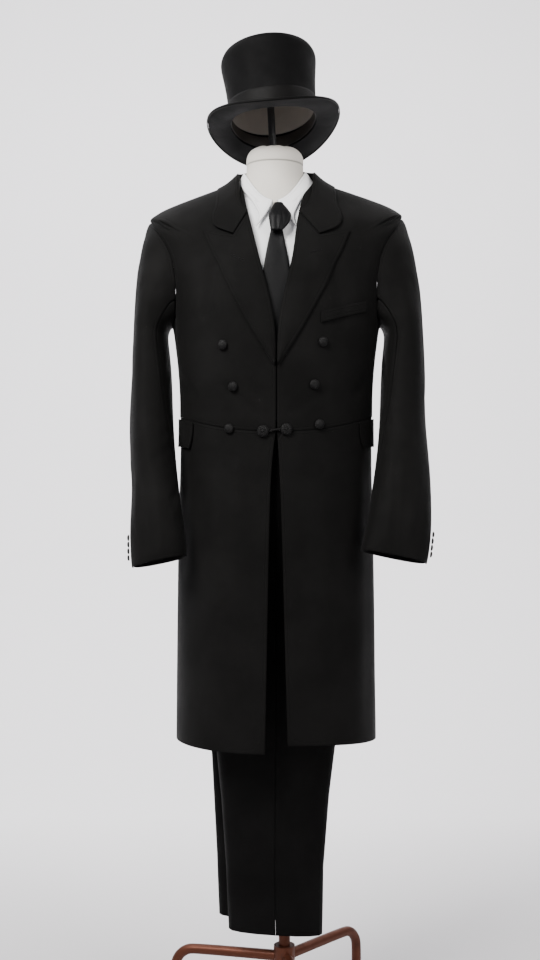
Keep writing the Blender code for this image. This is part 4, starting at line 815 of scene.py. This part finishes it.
# %% Form, hat and stand
FIRM_COLUMNS = ("node", "slot", "levels", "line")
FIRM = [
    ("form_torso", "form_jersey", 2, "body"),
    ("form_neck_cap", "form_jersey", 3, "neck"),
    ("hat_crown", "hat_felt", 2, "hat"),
    ("hat_brim", "hat_felt", 2, "hat"),
    ("hat_band", "hat_grosgrain", 2, "hat"),
    ("hat_binding", "hat_grosgrain", 2, "hat"),
    ("hat_lining", "hat_satin", 2, "hat"),
    ("hat_sweatband", "hat_leather", 2, "hat"),
    ("hat_post", "post_black", 2, "hat"),
    ("stand_pole", "stand_lacquer", 1, "stand"),
    ("stand_base", "stand_lacquer", 2, "stand"),
]
for row in FIRM:
    data = dict(zip(FIRM_COLUMNS, row))
    line, radius = LINES[data["line"]]
    piece = take_cloth(data["node"], data["levels"])
    if data["node"] in HAT_HEIGHTS:
        fit_in_hat(piece, *HAT_HEIGHTS[data["node"]])
    if data["node"] == "form_neck_cap":
        gather_cap(piece)
    mark_rim(piece)
    lay_grain(piece, line, radius)
    finish_piece(piece, data["slot"], data["node"])
    print(data["node"], "faces", len(piece.data.polygons))

# %% [markdown]
# ## Covered buttons
# A covered button is a metal dome with a disc of cloth pulled over it and tucked in behind. It is turned
# once from a cylinder: the face is inset and raised in three steps for the dome, and a Subdivision Surface
# rounds it. Each copy is then laid where its CAD node is, on the same tilt.

# %% Button master
BUTTON_SIDES = 24
DOME_STEPS = ((0.16, 0.24), (0.30, 0.18), (0.30, 0.08))
RIB_TURN = math.radians(15)
RIB_BAND = (0.55, 0.93)
RIB_HEIGHT = 0.10


def make_button(name, ribbed):
    """A button of unit radius and thickness, standing on the XY plane."""
    bpy.ops.object.select_all(action="DESELECT")
    bpy.ops.mesh.primitive_cylinder_add(vertices=BUTTON_SIDES, radius=1.0, depth=0.5, location=(0, 0, 0.25))
    button = bpy.context.object
    button.name = name
    bpy.ops.object.mode_set(mode="EDIT")
    bpy.ops.mesh.select_all(action="DESELECT")
    work = bmesh.from_edit_mesh(button.data)
    top = max(work.faces, key=lambda face: face.calc_center_median().z)
    top.select = True
    bmesh.update_edit_mesh(button.data)
    for inset, rise in DOME_STEPS:
        bpy.ops.mesh.inset(thickness=inset)
        bpy.ops.transform.translate(value=(0, 0, rise))
    if ribbed:
        bpy.ops.mesh.select_all(action="DESELECT")
        work = bmesh.from_edit_mesh(button.data)
        for face in work.faces:
            spot = face.calc_center_median()
            turn = int(round(math.atan2(spot.y, spot.x) / RIB_TURN - 0.5))
            face.select = RIB_BAND[0] < spot.z < RIB_BAND[1] and turn % 2 == 0
        bmesh.update_edit_mesh(button.data)
        bpy.ops.mesh.extrude_faces_move(TRANSFORM_OT_shrink_fatten={"value": RIB_HEIGHT})
    bpy.ops.object.mode_set(mode="OBJECT")
    bpy.ops.object.transform_apply(location=True, rotation=False, scale=False)
    smooth = button.modifiers.new("smooth", "SUBSURF")
    smooth.levels = 2
    smooth.render_levels = 2
    apply_all(button)
    return button


plain_button = make_button("plain_button_master", False)
ribbed_button = make_button("ribbed_button_master", True)
print("button faces", len(plain_button.data.polygons), len(ribbed_button.data.polygons))

# %% Lay every button on its node
BUTTON_NODES = sorted(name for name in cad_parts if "button" in name)


def node_tilt(node):
    """Middle, axes and half sizes of a round CAD node; its thinnest direction is the button's face."""
    points = points_of(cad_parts[node])
    points = np.unique(np.round(points, 6), axis=0)
    _, _, axes = np.linalg.svd(points - points.mean(0), full_matrices=False)
    reach = (points - points.mean(0)) @ axes.T
    low, high = reach.min(0), reach.max(0)
    middle = points.mean(0) + axes.T @ ((low + high) / 2)
    return middle, axes, (high - low) / 2


for node in BUTTON_NODES:
    master = ribbed_button if node.startswith("link") else plain_button
    middle, axes, half = node_tilt(node)
    face = axes[2]
    trunk = np.array([LINES["body"][0][0, 1], LINES["body"][0][0, 2], middle[2]])
    if node.startswith("cuff"):
        line = LINES["sleeve_left" if "left" in node else "sleeve_right"][0]
        across, back = (np.interp(middle[2], line[:, 0], line[:, column]) for column in (1, 2))
        trunk = np.array([across, back, middle[2]])
    if np.dot(face, middle - trunk) < 0:
        face = -face
    side = axes[0]
    third = np.cross(face, side)
    piece = master.copy()
    piece.data = master.data.copy()
    piece.name = node + "_finished"
    bpy.context.scene.collection.objects.link(piece)
    local = points_of(piece)
    local[:, :2] *= (half[0] + half[1]) / 2
    local[:, 2] = (local[:, 2] / local[:, 2].max() * 2 - 1) * half[2]
    put_points(piece, middle + local[:, [0]] * side + local[:, [1]] * third + local[:, [2]] * face)
    mark_rim(piece)
    lay_grain(piece, *LINES["body"])
    finish_piece(piece, "covered_button", node)
for master in (plain_button, ribbed_button):
    bpy.data.objects.remove(master)
print("buttons", len(BUTTON_NODES))

# %% [markdown]
# ## The link
# Two buttons joined by a short cord close the coat at the waist. The cord is two strands twisted round
# each other, so it is made as two thin curves that wind round one line, joined into a mesh.

# %% Twisted link cord
LINK_TURNS = 5
STRAND_RADIUS = 0.0011
CORD_STEPS = 48
CORD_SAG = 0.0012
NO_SHARP_EDGE = 170
middle, axes, half = node_tilt("link_cord")
along_cord = axes[0] if axes[0][0] > 0 else -axes[0]
up = np.cross(along_cord, (0, -1, 0))
up = up / np.linalg.norm(up)
front = np.cross(up, along_cord)
strands = []
for phase in (0.0, math.pi):
    curve = bpy.data.curves.new("link_strand", "CURVE")
    curve.dimensions = "3D"
    curve.bevel_depth = STRAND_RADIUS
    curve.bevel_resolution = 3
    spline = curve.splines.new("POLY")
    spline.points.add(CORD_STEPS)
    for step in range(CORD_STEPS + 1):
        share = step / CORD_STEPS
        turn = phase + share * LINK_TURNS * TURN
        sag = -CORD_SAG * math.sin(math.pi * share)
        spot = middle + along_cord * half[0] * (2 * share - 1)
        spot = spot + up * (STRAND_RADIUS * math.sin(turn) + sag)
        spot = spot + front * STRAND_RADIUS * math.cos(turn)
        spline.points[step].co = (*spot, 1.0)
    curve.use_fill_caps = True
    strand = bpy.data.objects.new("link_strand", curve)
    bpy.context.scene.collection.objects.link(strand)
    strands.append(strand)
select_only(strands[0])
strands[1].select_set(True)
bpy.ops.object.convert(target="MESH")
bpy.ops.object.join()
cord = bpy.context.object
cord.name = "link_cord_finished"
mark_rim(cord, NO_SHARP_EDGE)
lay_grain(cord, *LINES["body"])
finish_piece(cord, "covered_button", "link_cord")
print("link cord length", round(float(half[0]) * 2000, 1), "mm")

# %% [markdown]
# ## Buttonholes
# Each lapel has a worked buttonhole near its peak: a slit bound with close stitches, with a round end for
# the flower's stalk. The ring of stitches is a thin raised cord laid on the cloth, found by looking
# through the camera at the photograph's places.

# %% Worked buttonholes
HOLE_COLUMNS = ("name", "lapel", "start", "end")
BUTTONHOLES = [("buttonhole_right", "lapel_right", (231.5, 254.5), (244.0, 260.4)),
               ("buttonhole_left", "lapel_left", (309.0, 253.0), (321.4, 249.0))]
HOLE_HALF_WIDTH = 0.0010
EYE_HALF_WIDTH = 0.0021
PURL_RADIUS = 0.00055
PURL_STEPS = 28


def surface_of(piece):
    return BVHTree.FromObject(piece, bpy.context.evaluated_depsgraph_get())


def hole_ring(share):
    """Half width of the bound slit along its length, with a round eye at its end."""
    if share > 0.80:
        return EYE_HALF_WIDTH * math.sqrt(max(0.0, 1 - ((share - 0.90) / 0.10) ** 2))
    return HOLE_HALF_WIDTH


def purl_mesh(name, spots, closed):
    """A thin round cord through the spots, as a mesh."""
    curve = bpy.data.curves.new(name, "CURVE")
    curve.dimensions = "3D"
    curve.bevel_depth = PURL_RADIUS
    curve.bevel_resolution = 2
    spline = curve.splines.new("POLY")
    spline.points.add(len(spots) - 1)
    for point, spot in zip(spline.points, spots):
        point.co = (*spot, 1.0)
    spline.use_cyclic_u = closed
    piece = bpy.data.objects.new(name, curve)
    bpy.context.scene.collection.objects.link(piece)
    select_only(piece)
    bpy.ops.object.convert(target="MESH")
    return bpy.context.object


for row in BUTTONHOLES:
    data = dict(zip(HOLE_COLUMNS, row))
    cloth = surface_of(made[data["lapel"] + "_finished"])
    ends = [cloth.ray_cast(EYE, ray_through(data[end])) for end in ("start", "end")]
    first, last, normal = ends[0][0], ends[1][0], (ends[0][1] + ends[1][1]).normalized()
    sideways = (last - first).cross(normal).normalized()
    ring = []
    shares = [step / PURL_STEPS for step in range(PURL_STEPS + 1)]
    for side, order in ((1, shares), (-1, shares[::-1])):
        for share in order:
            spot = first.lerp(last, share) + sideways * side * hole_ring(share)
            hit = cloth.find_nearest(spot)
            ring.append(hit[0] + hit[1] * PURL_RADIUS * 0.5)
    piece = purl_mesh(data["name"], ring, True)
    mark_rim(piece, NO_SHARP_EDGE)
    lay_grain(piece, *LINES["body"])
    finish_piece(piece, "covered_button")
    print(data["name"], "length", round((last - first).length * 1000, 1), "mm")

# %% [markdown]
# ## Floor, backdrop and light
# A pale studio sweep: a floor that curves up into the wall, so that no corner shows. Large soft lights
# stand in front on both sides, because the cloth is black and only its sheen tells its shape.

# %% Stage and lights
WALL_AT = 4.0
WALL_HEIGHT = 6.0
SWEEP_RADIUS = 2.5
SWEEP_STEPS = 16
bpy.ops.object.select_all(action="DESELECT")
bpy.ops.mesh.primitive_plane_add(size=1, location=(0, 0, 0))
floor = bpy.context.object
floor.name = "studio_sweep"
floor.scale = (12.0, 9.0, 1.0)
bpy.ops.object.transform_apply(location=False, rotation=False, scale=True)
bpy.ops.object.mode_set(mode="EDIT")
bpy.ops.mesh.select_all(action="DESELECT")
work = bmesh.from_edit_mesh(floor.data)
for line in work.edges:
    line.select = all(vertex.co.y > WALL_AT for vertex in line.verts)
bmesh.update_edit_mesh(floor.data)
bpy.ops.mesh.extrude_region_move(TRANSFORM_OT_translate={"value": (0, 0, WALL_HEIGHT)})
bpy.ops.mesh.select_all(action="DESELECT")
work = bmesh.from_edit_mesh(floor.data)
for line in work.edges:
    line.select = all(vertex.co.y > WALL_AT and vertex.co.z < 0.1 for vertex in line.verts)
bmesh.update_edit_mesh(floor.data)
bpy.ops.mesh.bevel(offset=SWEEP_RADIUS, segments=SWEEP_STEPS)
bpy.ops.object.mode_set(mode="OBJECT")
bpy.ops.object.shade_smooth()
material, tree, shader, places = start_material("studio_paper")
fibre = noise_node(tree, places.outputs["Object"], 3.0, 4.0, 0.6)
mix = tree.nodes.new("ShaderNodeMix")
mix.data_type = "RGBA"
mix.inputs["A"].default_value = (0.86, 0.85, 0.87, 1)
mix.inputs["B"].default_value = (0.89, 0.88, 0.89, 1)
tree.links.new(fibre, mix.inputs["Factor"])
apart = tree.nodes.new("ShaderNodeSeparateXYZ")
tree.links.new(places.outputs["Object"], apart.inputs[0])
# Painted shade: the paper's colour is graded from 0.56 at y 0.2 and in front of it up to its full tone at y
# 1.6, so the floor is darker towards the front and under the form.
under = tree.nodes.new("ShaderNodeMix")
under.data_type = "RGBA"
under.inputs["A"].default_value = (0.56, 0.55, 0.56, 1)
tree.links.new(spread(tree, apart.outputs["Y"], 0.2, 1.6), under.inputs["Factor"])
tree.links.new(mix.outputs["Result"], under.inputs["B"])
tree.links.new(under.outputs["Result"], shader.inputs["Base Color"])
shader.inputs["Roughness"].default_value = 0.9
floor.data.materials.append(material)

LIGHT_COLUMNS = ("name", "place", "aim", "size", "power", "colour")
LIGHTS = [
    ("key_upper_left", (-1.5, -1.9, 3.2), (0.0, 0.0, 1.45), 1.4, 175.0, (1.0, 0.985, 0.965)),
    ("fill_right", (2.3, -2.3, 2.5), (0.0, 0.0, 1.5), 1.4, 56.0, (1.0, 0.975, 0.95)),
    ("low_front", (1.2, -2.2, 0.7), (0.05, 0.0, 1.85), 0.4, 1.5, (1.0, 0.97, 0.92)),
    ("backdrop_wash_left", (-1.6, 1.2, 3.4), (-0.6, 4.4, 1.4), 2.4, 185.0, (0.99, 0.98, 1.0)),
    ("backdrop_wash_right", (1.6, 1.2, 3.4), (0.6, 4.4, 1.4), 2.4, 140.0, (1.0, 0.98, 0.98)),
]
for row in LIGHTS:
    data = dict(zip(LIGHT_COLUMNS, row))
    light = bpy.data.lights.new(data["name"], "AREA")
    light.size = data["size"]
    light.energy = data["power"]
    light.color = data["colour"]
    lamp = bpy.data.objects.new(data["name"], light)
    lamp.location = data["place"]
    lamp.rotation_euler = (Vector(data["aim"]) - lamp.location).to_track_quat("-Z", "Y").to_euler()
    bpy.context.scene.collection.objects.link(lamp)
world = bpy.data.worlds.new("studio")
bpy.context.scene.world = world
world.use_nodes = True
world.node_tree.nodes["Background"].inputs["Color"].default_value = (0.90, 0.91, 0.96, 1)
world.node_tree.nodes["Background"].inputs["Strength"].default_value = 0.33
print("lights", len(LIGHTS))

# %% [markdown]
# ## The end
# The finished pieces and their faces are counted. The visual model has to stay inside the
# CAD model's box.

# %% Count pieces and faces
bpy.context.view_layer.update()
faces = sum(len(piece.data.polygons) for piece in made.values())
print("pieces", len(made), "faces", faces)
